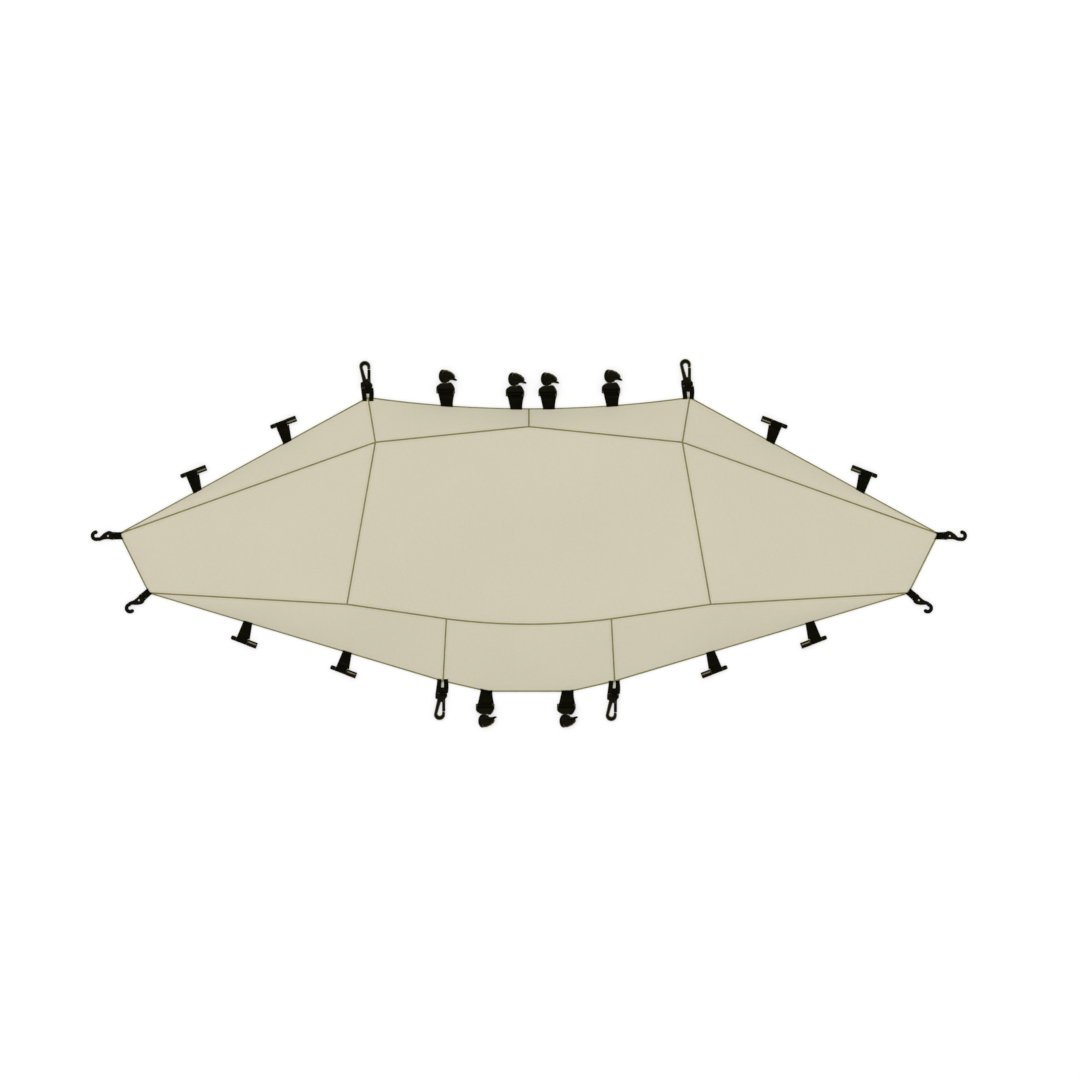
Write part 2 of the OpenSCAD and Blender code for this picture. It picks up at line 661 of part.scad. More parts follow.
// A snap hook's body: a frame round the loop's eye, a forked base for the gate, and the bow
module snap_hook() {
    cross_y = crosspiece(snap_bore_r);
    left = -snap_window - snap_left_arm_w;
    right = snap_window + snap_right_arm_w;
    base_y = cross_y + snap_base_w;
    outline = concat(
        [[left, 0], [left, base_y], [-10.4, base_y]],
        arc_points(bow_outer, bow_outer.z, 184, 0, 24),
        [[bow_outer.x + bow_outer.z, nose_y], [bow_inner.x + bow_inner.z, nose_y]],
        arc_points(bow_inner, bow_inner.z, 0, 180, 16),
        [[-2.9, 13.9], [gate_pin.x - gate_eye_r, gate_pin.y + gate_eye_r],
         [gate_pin.x + gate_eye_r, gate_pin.y + gate_eye_r / 2], [gate_pin.x + gate_eye_r, base_y],
         [right - 0.9, cross_y + 0.6], [right, 1.5], [right, 0]]);
    color(plastic_colour)
        translate([0, snap_reach, snap_z]) {
            difference() {
                linear_extrude(snap_t, center = true)
                    polygon(outline);
                translate([-snap_window, -1, -snap_t])
                    cube([2 * snap_window, cross_y + 1, 2 * snap_t]);
                linear_extrude(gate_slot, center = true)
                    translate(gate_pin) {
                        circle(gate_eye_r + side_gap);
                        for (turn = [0, gate_swing])
                            rotate(turn)
                                translate([-gate_slot_w / 2, 0])
                                    square([gate_slot_w, gate_l]);
                    }
                translate([gate_pin.x, gate_pin.y, -snap_t])
                    cylinder(h = 2 * snap_t, r = gate_pin_d / 2 + shaft_gap / 4);
            }
            knuckles(left, -snap_window, snap_window, right, snap_bar_d, snap_t);
        }
}

// A snap hook's gate, which turns on its pin towards the inside of the bow
module snap_gate() {
    color(plastic_colour)
        translate([gate_pin.x, snap_reach + gate_pin.y, snap_z])
            linear_extrude(gate_t, center = true)
                difference() {
                    union() {
                        circle(gate_eye_r);
                        translate([0.1 - gate_eye_r, 0])
                            square([2 * gate_eye_r - 0.3, gate_l]);
                    }
                    circle(gate_pin_d / 2 + shaft_gap);
                }
}

// The steel pin across a snap hook's fork
module snap_pin() {
    color(pin_colour)
        translate([gate_pin.x, snap_reach + gate_pin.y, snap_z])
            cylinder(h = snap_t - 0.4, d = gate_pin_d, center = true);
}

// A clip's base: a frame round the loop's eye, capped on top, and a domed crosspiece bored for the
// swivel
module clip_base() {
    left = clip_loop_shift - clip_window;
    right = clip_loop_shift + clip_window;
    crown = dome_y + dome_t;
    outline = [[left - clip_arm_w, 0], [left - clip_arm_w, crown - 8.3], [left - 1, crown - 5.5],
               [swivel_shift - 11, crown - 2.5], [swivel_shift - 6.5, crown], [swivel_shift + 7.5, crown],
               [swivel_shift + 12.5, crown - 0.9], [right - 2.1, crown - 2.5], [right + 0.5, crown - 5.5],
               [right + 2.2, crown - 9.5], [right + clip_arm_w, crown - 13.5], [right + clip_arm_w, 0]];
    color(plastic_colour)
        translate([0, clip_reach, clip_z]) {
            difference() {
                linear_extrude(clip_base_t, center = true)
                    polygon(outline);
                translate([left, -1, -clip_base_t])
                    cube([right - left, dome_y + 1, clip_base_t + cap_z]);
                translate([swivel_shift, dome_y - 1, 0])
                    rotate([-90, 0, 0])
                        cylinder(h = dome_t + 2, r = swivel_post_d / 2 + shaft_gap);
            }
            knuckles(left - clip_arm_w, left, right, right + clip_arm_w, clip_bar_d, clip_base_t);
        }
}

// A clip's head: a flanged swivel post, a rounded boss, and a jaw between a beak and a lip. The
// outlines are measured from the swivel's axis and the neck.
module clip_head() {
    boss = [-3.6, 13.1];
    boss_r = [8.6, 13.4];
    ellipse = [for (a = [0:10:350]) [boss.x + boss_r.x * cos(a), boss.y + boss_r.y * sin(a)]];
    beak = [[boss.x, boss.y], [boss.x + 1.5, 25.8], [4.6, 25.4], [13.6, 21.4], [19.9, 15.9], [21.2, 11],
            [20.6, 8.2], [boss.x + 7, 8.8]];
    lip = [[boss.x + 6, 5], [boss.x + 7, 8.2], [14, 7.7], [20, 6.9], [24.8, 5.4], [25, 3.8], [22.2, 2.8],
           [13.4, 4.6]];
    eye = [11, 13.4];
    eye_d = 4.6;
    eye_depth = 2;
    collar_l = 5;
    color(plastic_colour)
        translate([swivel_shift, clip_reach, clip_z]) {
            translate([0, flange_y, 0])
                rotate([-90, 0, 0])
                    cylinder(h = flange_t, d = swivel_flange_d);
            translate([0, flange_y + 1, 0])
                rotate([-90, 0, 0])
                    cylinder(h = neck_y - flange_y, d = swivel_post_d);
            translate([0, neck_y, 0])
                difference() {
                    union() {
                        rotate([-90, 0, 0])
                            cylinder(h = collar_l, d = clip_head_t - 0.4);
                        linear_extrude(clip_head_t, center = true)
                            polygon(ellipse);
                        linear_extrude(clip_head_t - 1, center = true)
                            polygon(beak);
                        linear_extrude(clip_head_t - 2, center = true)
                            polygon(lip);
                    }
                    translate([eye.x, eye.y, clip_head_t / 2 - eye_depth])
                        cylinder(h = eye_depth, d = eye_d);
                }
        }
}

if (shown("crown_panel")) crown_panel();
if (shown("side_panel_left")) side_panel();
if (shown("side_panel_right")) mirror([1, 0, 0]) side_panel();
if (shown("rear_gusset_left")) rear_gusset();
if (shown("rear_gusset_right")) mirror([1, 0, 0]) rear_gusset();
if (shown("rear_valance_left")) rear_valance();
if (shown("rear_valance_right")) mirror([1, 0, 0]) rear_valance();
if (shown("front_gusset_left")) front_gusset();
if (shown("front_gusset_right")) mirror([1, 0, 0]) front_gusset();
if (shown("front_valance")) front_valance();
if (shown("seam_piping")) seam_piping();
if (shown("hem_piping")) hem_piping();
if (shown("toggle_loops")) for (s = toggle_spots) at_spot(s) toggle_loop();
if (shown("corner_hook_loops")) for (s = corner_spots) at_spot(s) corner_hook_loop();
if (shown("snap_hook_loops")) for (s = snap_spots) at_spot(s) snap_hook_loop();
if (shown("clip_loops")) for (s = clip_spots) at_spot(s) clip_loop();
for (i = [0:len(toggle_names) - 1])
    if (shown(str("toggle_", toggle_names[i]))) at_spot(toggle_spots[i]) toggle();
for (i = [0:len(corner_names) - 1])
    if (shown(str("corner_hook_", corner_names[i]))) at_spot(corner_spots[i]) corner_hook();
for (i = [0:len(snap_names) - 1]) {
    if (shown(str("snap_hook_", snap_names[i]))) at_spot(snap_spots[i]) snap_hook();
    if (shown(str("snap_gate_", snap_names[i]))) at_spot(snap_spots[i]) snap_gate();
    if (shown(str("snap_pin_", snap_names[i]))) at_spot(snap_spots[i]) snap_pin();
}
for (i = [0:len(clip_names) - 1]) {
    if (shown(str("clip_base_", clip_names[i]))) at_spot(clip_spots[i]) clip_base();
    if (shown(str("clip_head_", clip_names[i]))) at_spot(clip_spots[i]) clip_head();
}
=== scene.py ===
import json
import math
from collections import namedtuple

import bpy
from mathutils import Matrix, Vector


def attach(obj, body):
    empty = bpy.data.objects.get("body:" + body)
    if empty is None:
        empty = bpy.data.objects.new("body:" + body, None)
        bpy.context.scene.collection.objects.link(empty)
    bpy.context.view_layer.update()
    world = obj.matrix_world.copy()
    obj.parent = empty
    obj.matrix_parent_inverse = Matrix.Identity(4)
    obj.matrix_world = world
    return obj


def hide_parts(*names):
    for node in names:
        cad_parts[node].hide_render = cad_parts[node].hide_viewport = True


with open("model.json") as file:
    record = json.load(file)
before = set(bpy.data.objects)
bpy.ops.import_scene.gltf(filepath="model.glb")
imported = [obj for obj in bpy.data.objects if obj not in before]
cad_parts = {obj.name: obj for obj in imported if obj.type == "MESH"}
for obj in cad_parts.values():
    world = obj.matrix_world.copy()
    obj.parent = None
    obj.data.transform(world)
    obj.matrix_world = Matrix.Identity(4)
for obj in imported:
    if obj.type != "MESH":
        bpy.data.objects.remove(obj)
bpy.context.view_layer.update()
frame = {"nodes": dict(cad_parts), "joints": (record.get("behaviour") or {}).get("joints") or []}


# Cloth panels
# Ten pieces of coated plain-weave canvas, cut flat and sewn edge to edge, so that each is pulled taut
# over a low crown. Their edges turn down into the seams and pucker a little along the thread.
mm = 0.001
cloth_t = 1.1
hem_z = 2.8
seam_z = 42.0
seam_row = 5.0
hem_row = 7.0
front_y = -293.5
front_arc_y = -159.6
rear_half = 321.75
crown_half = 363.75
valance_half = 165.0
valance_hem_half = 171.5
rear_sag = 22.7
front_sag = 10.8
crown_front_rise = 29
valance_hem_rise = 20.4
rear_corner = Vector((-rear_half, 293.5, hem_z))
rear_middle = Vector((0, 270.8, hem_z))
end_rear = Vector((-818.5, 21.5, hem_z))
end_front = Vector((-759.5, -97.0, hem_z))
front_corner = Vector((-valance_hem_half, -273.1, hem_z))
front_turn = Vector((-82.5, front_y, hem_z))
crown_rear = Vector((-307.0, 204.2, seam_z))
ridge = Vector((0, 235.5, seam_z))
crown_front = Vector((-crown_half, -119.8, seam_z))
front_seam = Vector((-valance_half, -148.8, seam_z))
rear_arc_r = (rear_half ** 2 + rear_sag ** 2) / (2 * rear_sag)
front_arc_r = (valance_half ** 2 + front_sag ** 2) / (2 * front_sag)


def other_side(p):
    return Vector((-p.x, p.y, p.z))


def rear_hem_at(x):
    return Vector((x, rear_middle.y + rear_arc_r - math.sqrt(rear_arc_r ** 2 - x * x), hem_z))


def front_arc_at(x):
    return Vector((x, front_arc_y + front_arc_r - math.sqrt(front_arc_r ** 2 - x * x), seam_z))


def crown_front_rail(s):
    x = (2 * s - 1) * crown_half
    if abs(x) <= valance_half:
        return front_arc_at(x)
    out = (abs(x) - valance_half) / (crown_half - valance_half)
    return Vector((x, front_seam.y + out * crown_front_rise, seam_z))


def crown_rear_rail(s):
    if s < 0.5:
        return crown_rear.lerp(ridge, 2 * s)
    return ridge.lerp(other_side(crown_rear), 2 * s - 1)


def front_gusset_seam(s):
    turn = (crown_front.x - end_front.x) / (front_seam.x - end_front.x)
    if s < turn:
        return end_front.lerp(crown_front, s / turn)
    return crown_front.lerp(front_seam, (s - turn) / (1 - turn))


def front_valance_hem(s):
    t = 2 * s - 1
    straight = front_turn.x / front_corner.x
    out = max(0, abs(t) - straight) / (1 - straight)
    return Vector((t * valance_hem_half, front_y + out * valance_hem_rise, hem_z))


# Each panel has a front rail and a rear rail, the rise between them, its length along the rails, what
# its front, rear, first and last edges are sewn to, and the flat rectangle and area of its cut.
Panel = namedtuple("Panel", "front rear rise length edges cut area")
panels = {
    "crown_panel": Panel(
        crown_front_rail, crown_rear_rail,
        16, 672, ("seam", "seam", "seam", "seam"), (0.735, 0.402), 0.245),
    "side_panel": Panel(
        lambda s: end_front.lerp(crown_front, s), lambda s: end_rear.lerp(crown_rear, s),
        8, 470, ("seam", "seam", "hem", "seam"), (0.545, 0.335), 0.1007),
    "rear_gusset": Panel(
        lambda s: end_rear.lerp(crown_rear, s), lambda s: end_rear.lerp(rear_corner, s),
        3, 555, ("seam", "hem", "point", "seam"), (0.567, 0.095), 0.0263),
    "rear_valance": Panel(
        lambda s: crown_rear.lerp(ridge, s), lambda s: rear_hem_at(rear_corner.x * (1 - s)),
        3, 315, ("seam", "hem", "seam", "seam"), (0.324, 0.1), 0.0219),
    "front_gusset": Panel(
        lambda s: end_front.lerp(front_corner, s), front_gusset_seam,
        3, 605, ("hem", "seam", "point", "seam"), (0.615, 0.135), 0.0432),
    "front_valance": Panel(
        front_valance_hem, lambda s: front_arc_at((2 * s - 1) * valance_half),
        3, 340, ("hem", "seam", "seam", "seam"), (0.347, 0.145), 0.0463),
}


def sides_of(name):
    return (1,) if name in ("crown_panel", "front_valance") else (-1, 1)


def width_at(panel, s):
    return math.hypot(*(panel.rear(s) - panel.front(s)).xy)


def stitch_row(edge):
    return hem_row if edge == "hem" else seam_row


def arch(t):
    return 4 * t * (1 - t)


def sewn_edge(edge, d, along):
    if edge == "point":
        return 0
    turned_down = -0.35 * math.exp(-((d - 1) / 1.3) ** 2)
    groove = -0.22 * math.exp(-((d - stitch_row(edge)) / 0.9) ** 2)
    fading = 0.3 * (1 - math.exp(-d / 4)) * math.exp(-d / 16)
    pucker = fading * math.sin(along / 4.3 + 1.7 * math.sin(along / 37))
    return turned_down + groove + pucker


def cloth_at(panel, s, t, side):
    front = panel.front(s)
    rear = panel.rear(s)
    width = math.hypot(rear.x - front.x, rear.y - front.y)
    p = front.lerp(rear, t)
    inside = arch(s) * arch(t)
    p.z += panel.rise * inside + 0.6 * inside * math.sin(p.x / 33 + side + 1.3 * math.sin(p.y / 41))
    along = s * panel.length + 50 * side
    p.z += sewn_edge(panel.edges[0], t * width, along)
    p.z += sewn_edge(panel.edges[1], (1 - t) * width, along + 11)
    p.z += sewn_edge(panel.edges[2], s * panel.length, t * width)
    p.z += sewn_edge(panel.edges[3], (1 - s) * panel.length, t * width + 7)
    p.x *= side
    return p


near_edge = [1.0, 1.6, 2.3, 3.2, 4.3, 5.0, 5.7, 7.0, 9.5, 13.5, 19.0]
point_start = 12.5
cloth_step = 6.5


def edge_steps(width):
    k = max(0.002, min(1, (width / 2 - 1.05) / 18.5))
    return [1 + (d - 1) * k for d in near_edge]


def only(obj):
    bpy.ops.object.select_all(action="DESELECT")
    obj.select_set(True)
    bpy.context.view_layer.objects.active = obj


def apply_modifier(obj, kind, **settings):
    only(obj)
    modifier = obj.modifiers.new(kind.lower(), kind)
    for key, value in settings.items():
        setattr(modifier, key, value)
    bpy.ops.object.modifier_apply(modifier=modifier.name)


def face_outward(obj):
    only(obj)
    bpy.ops.object.mode_set(mode="EDIT")
    bpy.ops.mesh.select_all(action="SELECT")
    bpy.ops.mesh.normals_make_consistent(inside=False)
    bpy.ops.object.mode_set(mode="OBJECT")


def smooth_below(obj, bend):
    only(obj)
    bpy.ops.object.shade_smooth_by_angle(angle=math.radians(bend))


def tree_of(owner):
    owner.use_nodes = True
    return owner.node_tree


def new_finish(name):
    material = bpy.data.materials.new(name)
    tree = tree_of(material)
    place = tree.nodes.new("ShaderNodeTexCoord").outputs["Object"]
    return material, tree, tree.nodes["Principled BSDF"], place


def noise(tree, coordinate, scale, detail):
    texture = tree.nodes.new("ShaderNodeTexNoise")
    texture.inputs["Scale"].default_value = scale
    texture.inputs["Detail"].default_value = detail
    tree.links.new(coordinate, texture.inputs["Vector"])
    return texture.outputs["Fac"]


def between(tree, value, low, high, start=0.25):
    ramp = tree.nodes.new("ShaderNodeMapRange")
    ramp.inputs["From Min"].default_value = start
    ramp.inputs["From Max"].default_value = start + 0.5
    ramp.inputs["To Min"].default_value = low
    ramp.inputs["To Max"].default_value = high
    tree.links.new(value, ramp.inputs["Value"])
    return ramp.outputs["Result"]


def mottled(tree, coordinate, scale, detail, low, high):
    return between(tree, noise(tree, coordinate, scale, detail), low, high)


def combined(tree, operation, a, b):
    both = tree.nodes.new("ShaderNodeMath")
    both.operation = operation
    tree.links.new(a, both.inputs[0])
    if isinstance(b, float):
        both.inputs[1].default_value = b
    else:
        tree.links.new(b, both.inputs[1])
    return both.outputs["Value"]


def shaded(tree, colour, share):
    tone = tree.nodes.new("ShaderNodeVectorMath")
    tone.operation = "SCALE"
    tone.inputs[0].default_value = colour
    tree.links.new(share, tone.inputs["Scale"])
    return tone.outputs["Vector"]


def weave(tree, coordinate, scale, direction):
    threads = tree.nodes.new("ShaderNodeTexWave")
    threads.bands_direction = direction
    threads.inputs["Scale"].default_value = scale
    threads.inputs["Distortion"].default_value = 0.4
    threads.inputs["Detail Scale"].default_value = 2
    tree.links.new(coordinate, threads.inputs["Vector"])
    return combined(tree, "SUBTRACT", threads.outputs["Fac"], 0.5)


def bumped(tree, height, shader, strength, depth):
    bump = tree.nodes.new("ShaderNodeBump")
    bump.inputs["Strength"].default_value = strength
    bump.inputs["Distance"].default_value = depth
    tree.links.new(height, bump.inputs["Height"])
    tree.links.new(bump.outputs["Normal"], shader.inputs["Normal"])


def canvas_finish():
    material, tree, shader, place = new_finish("beige canvas")
    warp = weave(tree, place, 330, "X")
    weft = weave(tree, place, 330, "Y")
    crossing = combined(tree, "MULTIPLY", warp, weft)
    # Painted shade of the weave: the colour is darker where the weave's height is low and lighter on its
    # crossings.
    thread = between(tree, crossing, 0.965, 1.035, -0.25)
    cloud = mottled(tree, place, 5, 4, 0.98, 1.02)
    slub = mottled(tree, place, 260, 3, 0.975, 1.025)
    share = combined(tree, "MULTIPLY", combined(tree, "MULTIPLY", thread, cloud), slub)
    tree.links.new(shaded(tree, canvas_beige, share), shader.inputs["Base Color"])
    tree.links.new(mottled(tree, place, 90, 3, 0.78, 0.92), shader.inputs["Roughness"])
    shader.inputs["Specular IOR Level"].default_value = 0.15
    shader.inputs["Sheen Weight"].default_value = 0.04
    bumped(tree, crossing, shader, 0.35, 0.0004)
    return material


canvas_beige = (0.64, 0.599, 0.463)
canvas = canvas_finish()


def panel_cloth(name, panel, side):
    length = panel.length
    first = [point_start] if panel.edges[2] == "point" else edge_steps(length)
    last = [length - d for d in reversed(edge_steps(length))]
    steps = max(2, round((last[0] - first[-1]) / cloth_step))
    along = first + [first[-1] + (last[0] - first[-1]) * k / steps for k in range(1, steps)] + last
    widest = max(width_at(panel, s) for s in (0.02, 0.25, 0.5, 0.75, 0.98))
    rows = max(2, round((widest - 2 * near_edge[-1]) / cloth_step))
    count = 2 * len(near_edge) + rows - 1
    bpy.ops.object.select_all(action="DESELECT")
    bpy.ops.mesh.primitive_grid_add(x_subdivisions=len(along) - 1, y_subdivisions=count - 1, size=1)
    cloth = bpy.context.object
    cloth.name = name
    for v in cloth.data.vertices:
        i = round((v.co.x + 0.5) * (len(along) - 1))
        j = round((v.co.y + 0.5) * (count - 1))
        s = along[i] / length
        width = width_at(panel, s)
        near = edge_steps(width)
        inner = [near[-1] + (width - 2 * near[-1]) * k / rows for k in range(1, rows)]
        across = near + inner + [width - d for d in reversed(near)]
        v.co = cloth_at(panel, s, across[j] / width, side) * mm
    face_outward(cloth)
    apply_modifier(cloth, "SOLIDIFY", thickness=cloth_t * mm, offset=0)
    smooth_below(cloth, 50)
    cloth.data.materials.append(canvas)
    return cloth


for name, panel in panels.items():
    for side in sides_of(name):
        node = name
        if len(sides_of(name)) == 2:
            node += "_left" if side == 1 else "_right"
        cloth = panel_cloth(node + "_cloth", panel, side)
        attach(cloth, "cover")
        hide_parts(node)


# Topstitching
# A row of thread beside every seam and inside the hem. It goes through the cloth and the seam's
# allowance below it, each stitch a short raised length that sinks in at both ends.
stitch_pitch = 4.4
stitch_size = (1.6, 0.3, 0.26)
stitch_lift = 0.08
thread_beige = (0.6, 0.56, 0.425)
bpy.ops.object.select_all(action="DESELECT")
bpy.ops.mesh.primitive_uv_sphere_add(segments=6, ring_count=4, radius=1)
stitch_shape = bpy.context.object
bpy.ops.object.mode_set(mode="EDIT")
bpy.ops.mesh.select_all(action="SELECT")
bpy.ops.transform.rotate(value=math.radians(90), orient_axis="Y", center_override=(0, 0, 0))
bpy.ops.transform.resize(value=stitch_size, center_override=(0, 0, 0))
bpy.ops.object.mode_set(mode="OBJECT")
stitch_points = [v.co.copy() for v in stitch_shape.data.vertices]
stitch_faces = [tuple(f.vertices) for f in stitch_shape.data.polygons]
bpy.data.objects.remove(stitch_shape)


def rows_of_thread(name, rows, pitch, lift):
    points = []
    faces = []
    for row in rows:
        travelled = 0
        due = pitch
        for a, b in zip(row, row[1:]):
            step = (b - a).length
            while step > 0 and travelled + step >= due:
                middle = a.lerp(b, (due - travelled) / step)
                run = (b - a).normalized()
                beside = Vector((0, 0, 1)).cross(run).normalized()
                up = run.cross(beside)
                first = len(points)
                for p in stitch_points:
                    points.append((middle + run * p.x + beside * p.y + up * (p.z + lift)) * mm)
                faces.extend(tuple(first + i for i in f) for f in stitch_faces)
                due += pitch
            travelled += step
    mesh = bpy.data.meshes.new(name)
    mesh.from_pydata(points, [], faces)
    thread = bpy.data.objects.new(name, mesh)
    bpy.context.scene.collection.objects.link(thread)
    face_outward(thread)
    bpy.ops.object.shade_smooth()
    return thread


def thread_finish(name, colour):
    material, tree, shader, place = new_finish(name)
    share = mottled(tree, place, 700, 2, 0.9, 1.1)
    tree.links.new(shaded(tree, colour, share), shader.inputs["Base Color"])
    tree.links.new(mottled(tree, place, 300, 2, 0.6, 0.8), shader.inputs["Roughness"])
    shader.inputs["Specular IOR Level"].default_value = 0.2
    bumped(tree, weave(tree, place, 900, "DIAGONAL"), shader, 0.3, 0.0002)
    return material


def panel_rows(panel, side):
    found = []
    fine = [k / 120 for k in range(121)]
    for which in (0, 1):
        row = stitch_row(panel.edges[which])
        line = []
        for s in fine:
            width = width_at(panel, s)
            to_end = min(s, 1 - s) * panel.length
            if width > 3 * row and to_end > row + 1:
                t = row / width if which == 0 else 1 - row / width
                line.append(cloth_at(panel, s, t, side))
        found.append(line)
    for which in (2, 3):
        if panel.edges[which] == "point":
            continue
        row = stitch_row(panel.edges[which])
        s = row / panel.length if which == 2 else 1 - row / panel.length
        width = width_at(panel, s)
        found.append([cloth_at(panel, s, t, side) for t in fine if min(t, 1 - t) * width > row + 1])
    return found


rows = []
for name, panel in panels.items():
    for side in sides_of(name):
        rows += panel_rows(panel, side)
topstitching = rows_of_thread("topstitching", rows, stitch_pitch, cloth_t / 2 + stitch_lift)
beige_thread = thread_finish("beige thread", thread_beige)
topstitching.data.materials.append(beige_thread)
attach(topstitching, "cover")


# Piping in the seams
# A thin cord wrapped in olive bias tape and caught between each two panels, so that it stands up as
# a fine rounded line. One run follows another over a corner without a break.
piping_r = 1.5
piping_roundness = 3
piping_step = 20
piping_olive = (0.228, 0.212, 0.074)


def between_points(points, step):
    dense = [points[0]]
    for a, b in zip(points, points[1:]):
        count = max(1, round((b - a).length / step))
        dense += [a.lerp(b, k / count) for k in range(1, count + 1)]
    return dense


def eased(points, r):
    soft = [points[0]]
    for a, b, c in zip(points, points[1:], points[2:]):
        back = min(r, (a - b).length / 2)
        ahead = min(r, (c - b).length / 2)
        p = b + (a - b).normalized() * back
        q = b + (c - b).normalized() * ahead
        soft += [p, (p + q + 2 * b) / 4, q]
    return soft + [points[-1]]


def corded(name, runs, r, closed, roundness):
    curve = bpy.data.curves.new(name, "CURVE")
    curve.dimensions = "3D"
    curve.bevel_depth = r * mm
    curve.bevel_resolution = roundness
    curve.use_fill_caps = not closed
    for run in runs:
        spline = curve.splines.new("POLY")
        spline.points.add(len(run) - 1)
        for point, p in zip(spline.points, run):
            point.co = (p.x * mm, p.y * mm, p.z * mm, 1)
        spline.use_cyclic_u = closed
    cord = bpy.data.objects.new(name, curve)
    bpy.context.scene.collection.objects.link(cord)
    only(cord)
    bpy.ops.object.convert(target="MESH")
    cord = bpy.context.object
    bpy.ops.object.mode_set(mode="EDIT")
    bpy.ops.mesh.select_all(action="SELECT")
    bpy.ops.mesh.remove_doubles(threshold=0.00001)
    bpy.ops.mesh.normals_make_consistent(inside=False)
    bpy.ops.object.mode_set(mode="OBJECT")
    smooth_below(cord, 60)
    return cord


def piping_finish():
    material, tree, shader, place = new_finish("olive piping")
    twill = weave(tree, place, 260, "DIAGONAL")
    share = mottled(tree, place, 60, 4, 0.85, 1.15)
    tree.links.new(shaded(tree, piping_olive, share), shader.inputs["Base Color"])
    tree.links.new(mottled(tree, place, 200, 2, 0.6, 0.8), shader.inputs["Roughness"])
    shader.inputs["Specular IOR Level"].default_value = 0.12
    bumped(tree, twill, shader, 0.3, 0.0004)
    return material


olive_piping = piping_finish()
left_runs = [
    [rear_corner, crown_rear],
    [crown_rear, crown_front],
    [front_seam, front_corner],
]
rear_run = [end_rear, crown_rear, ridge, other_side(crown_rear), other_side(end_rear)]
arc_run = [front_arc_at(x * 15.0) for x in range(-10, 11)]
front_run = [end_front, crown_front, front_seam] + arc_run
front_run += [other_side(front_seam), other_side(crown_front), other_side(end_front)]
whole_runs = left_runs + [[other_side(p) for p in run] for run in left_runs]
whole_runs += [eased(rear_run, 6), eased(front_run, 6), [rear_middle, ridge]]
seam_runs = [between_points(run, piping_step) for run in whole_runs]
seam_cord = corded("seam_piping_cord", seam_runs, piping_r, False, piping_roundness)
seam_cord.data.materials.append(olive_piping)
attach(seam_cord, "cover")
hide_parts("seam_piping")


# Piping round the hem
# The same olive piping closes the outer edge of the cloth all the way round. It follows the curved
# rear hem, and turns each corner in a short bend.
rear_edge = [rear_hem_at(x * rear_corner.x / -16) for x in range(-16, 17)]
right_edge = [other_side(p) for p in (end_rear, end_front, front_corner, front_turn)]
left_edge = [front_turn, front_corner, end_front, end_rear]
outline = rear_edge + right_edge + left_edge
outline = eased([outline[-1]] + outline + [outline[0]], 4)[1:-1]
hem_run = between_points(outline + [outline[0]], piping_step)[:-1]
hem_cord = corded("hem_piping_cord", [hem_run], piping_r, True, piping_roundness)
hem_cord.data.materials.append(olive_piping)
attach(hem_cord, "cover")
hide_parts("hem_piping")


# Webbing loops
# Black ribbed webbing, folded round each fitting's bar. The lower ply is sewn under the hem, and the
# upper ply comes back over the piping and ends just inside it.
joints = {j["name"]: j for j in frame["joints"]}
webbing_t = 1.15
ply_gap = 0.08
tail_l = 14
eye_steps = 18
strap_step = 0.9
webbing_black = (0.003, 0.0027, 0.001)
Eye = namedtuple("Eye", "reach bar_z bore_r fold")


def fitting_place(joint, mirrored):
    axis = Vector(joints[joint]["axis"])
    out = Vector((-axis.y, axis.x, 0))
    if mirrored:
        axis = -axis
    place = Matrix((axis, out, (0, 0, 1))).transposed().to_4x4()
    place.translation = joints[joint]["pos_m"]
    return place @ Matrix.Scale(mm, 4)


def on_floor(joint, mirrored, bar_z):
    return fitting_place(joint, mirrored) @ Matrix.Translation((0, 0, -bar_z))


def webbing_finish():
    material, tree, shader, place = new_finish("black webbing")
    own = tree.nodes.new("ShaderNodeUVMap")
    own.uv_map = "UVMap"
    along = own.outputs["UV"]
    ribs = weave(tree, along, 0.2, "X")
    picks = weave(tree, along, 0.34, "Y")
    crossing = combined(tree, "MULTIPLY", ribs, picks)
    height = combined(tree, "ADD", ribs, crossing)
    share = mottled(tree, place, 160, 4, 0.6, 1.6)
    tree.links.new(shaded(tree, webbing_black, share), shader.inputs["Base Color"])
    tree.links.new(mottled(tree, place, 400, 2, 0.6, 0.8), shader.inputs["Roughness"])
    shader.inputs["Specular IOR Level"].default_value = 0.03
    shader.inputs["Specular Tint"].default_value = (1, 0.92, 0.6, 1)
    bumped(tree, height, shader, 0.5, 0.0005)
    return material


black_webbing = webbing_finish()


def softer_max(a, b, k):
    return 0.5 * (a + b + math.sqrt((a - b) ** 2 + k * k))


def hem_ahead(place, x):
    to_strap = place.inverted()
    found = []
    for a, b in zip(outline, outline[1:] + outline[:1]):
        p = to_strap @ (a * mm)
        q = to_strap @ (b * mm)
        if (p.x - x) * (q.x - x) < 0:
            y = p.y + (q.y - p.y) * (x - p.x) / (q.x - p.x)
            if abs(y) < 60:
                found.append(y)
    return max(found)


def lower_ply_z(y, eye):
    on_ground = ply_gap + webbing_t / 2
    foot = eye.bar_z - eye.bore_r - webbing_t / 2
    return on_ground + (foot - on_ground) * max(0, y) / eye.reach


def over_hem_z(d, slope):
    r = piping_r + webbing_t / 2 + 0.04
    if d > 0.625 * r:
        return hem_z + 1.28 * r - 0.8 * d
    on_cord = hem_z + math.sqrt(max(0, r * r - d * d))
    on_cloth = hem_z + (cloth_t + webbing_t) / 2 + 0.05 - slope * d
    return max(on_cord, on_cloth) if d < 0 else on_cord


def eye_exit(eye):
    middle_r = eye.bore_r + webbing_t / 2
    fold = math.radians(eye.fold)
    return eye.reach - middle_r * math.sin(fold), eye.bar_z + middle_r * math.cos(fold)


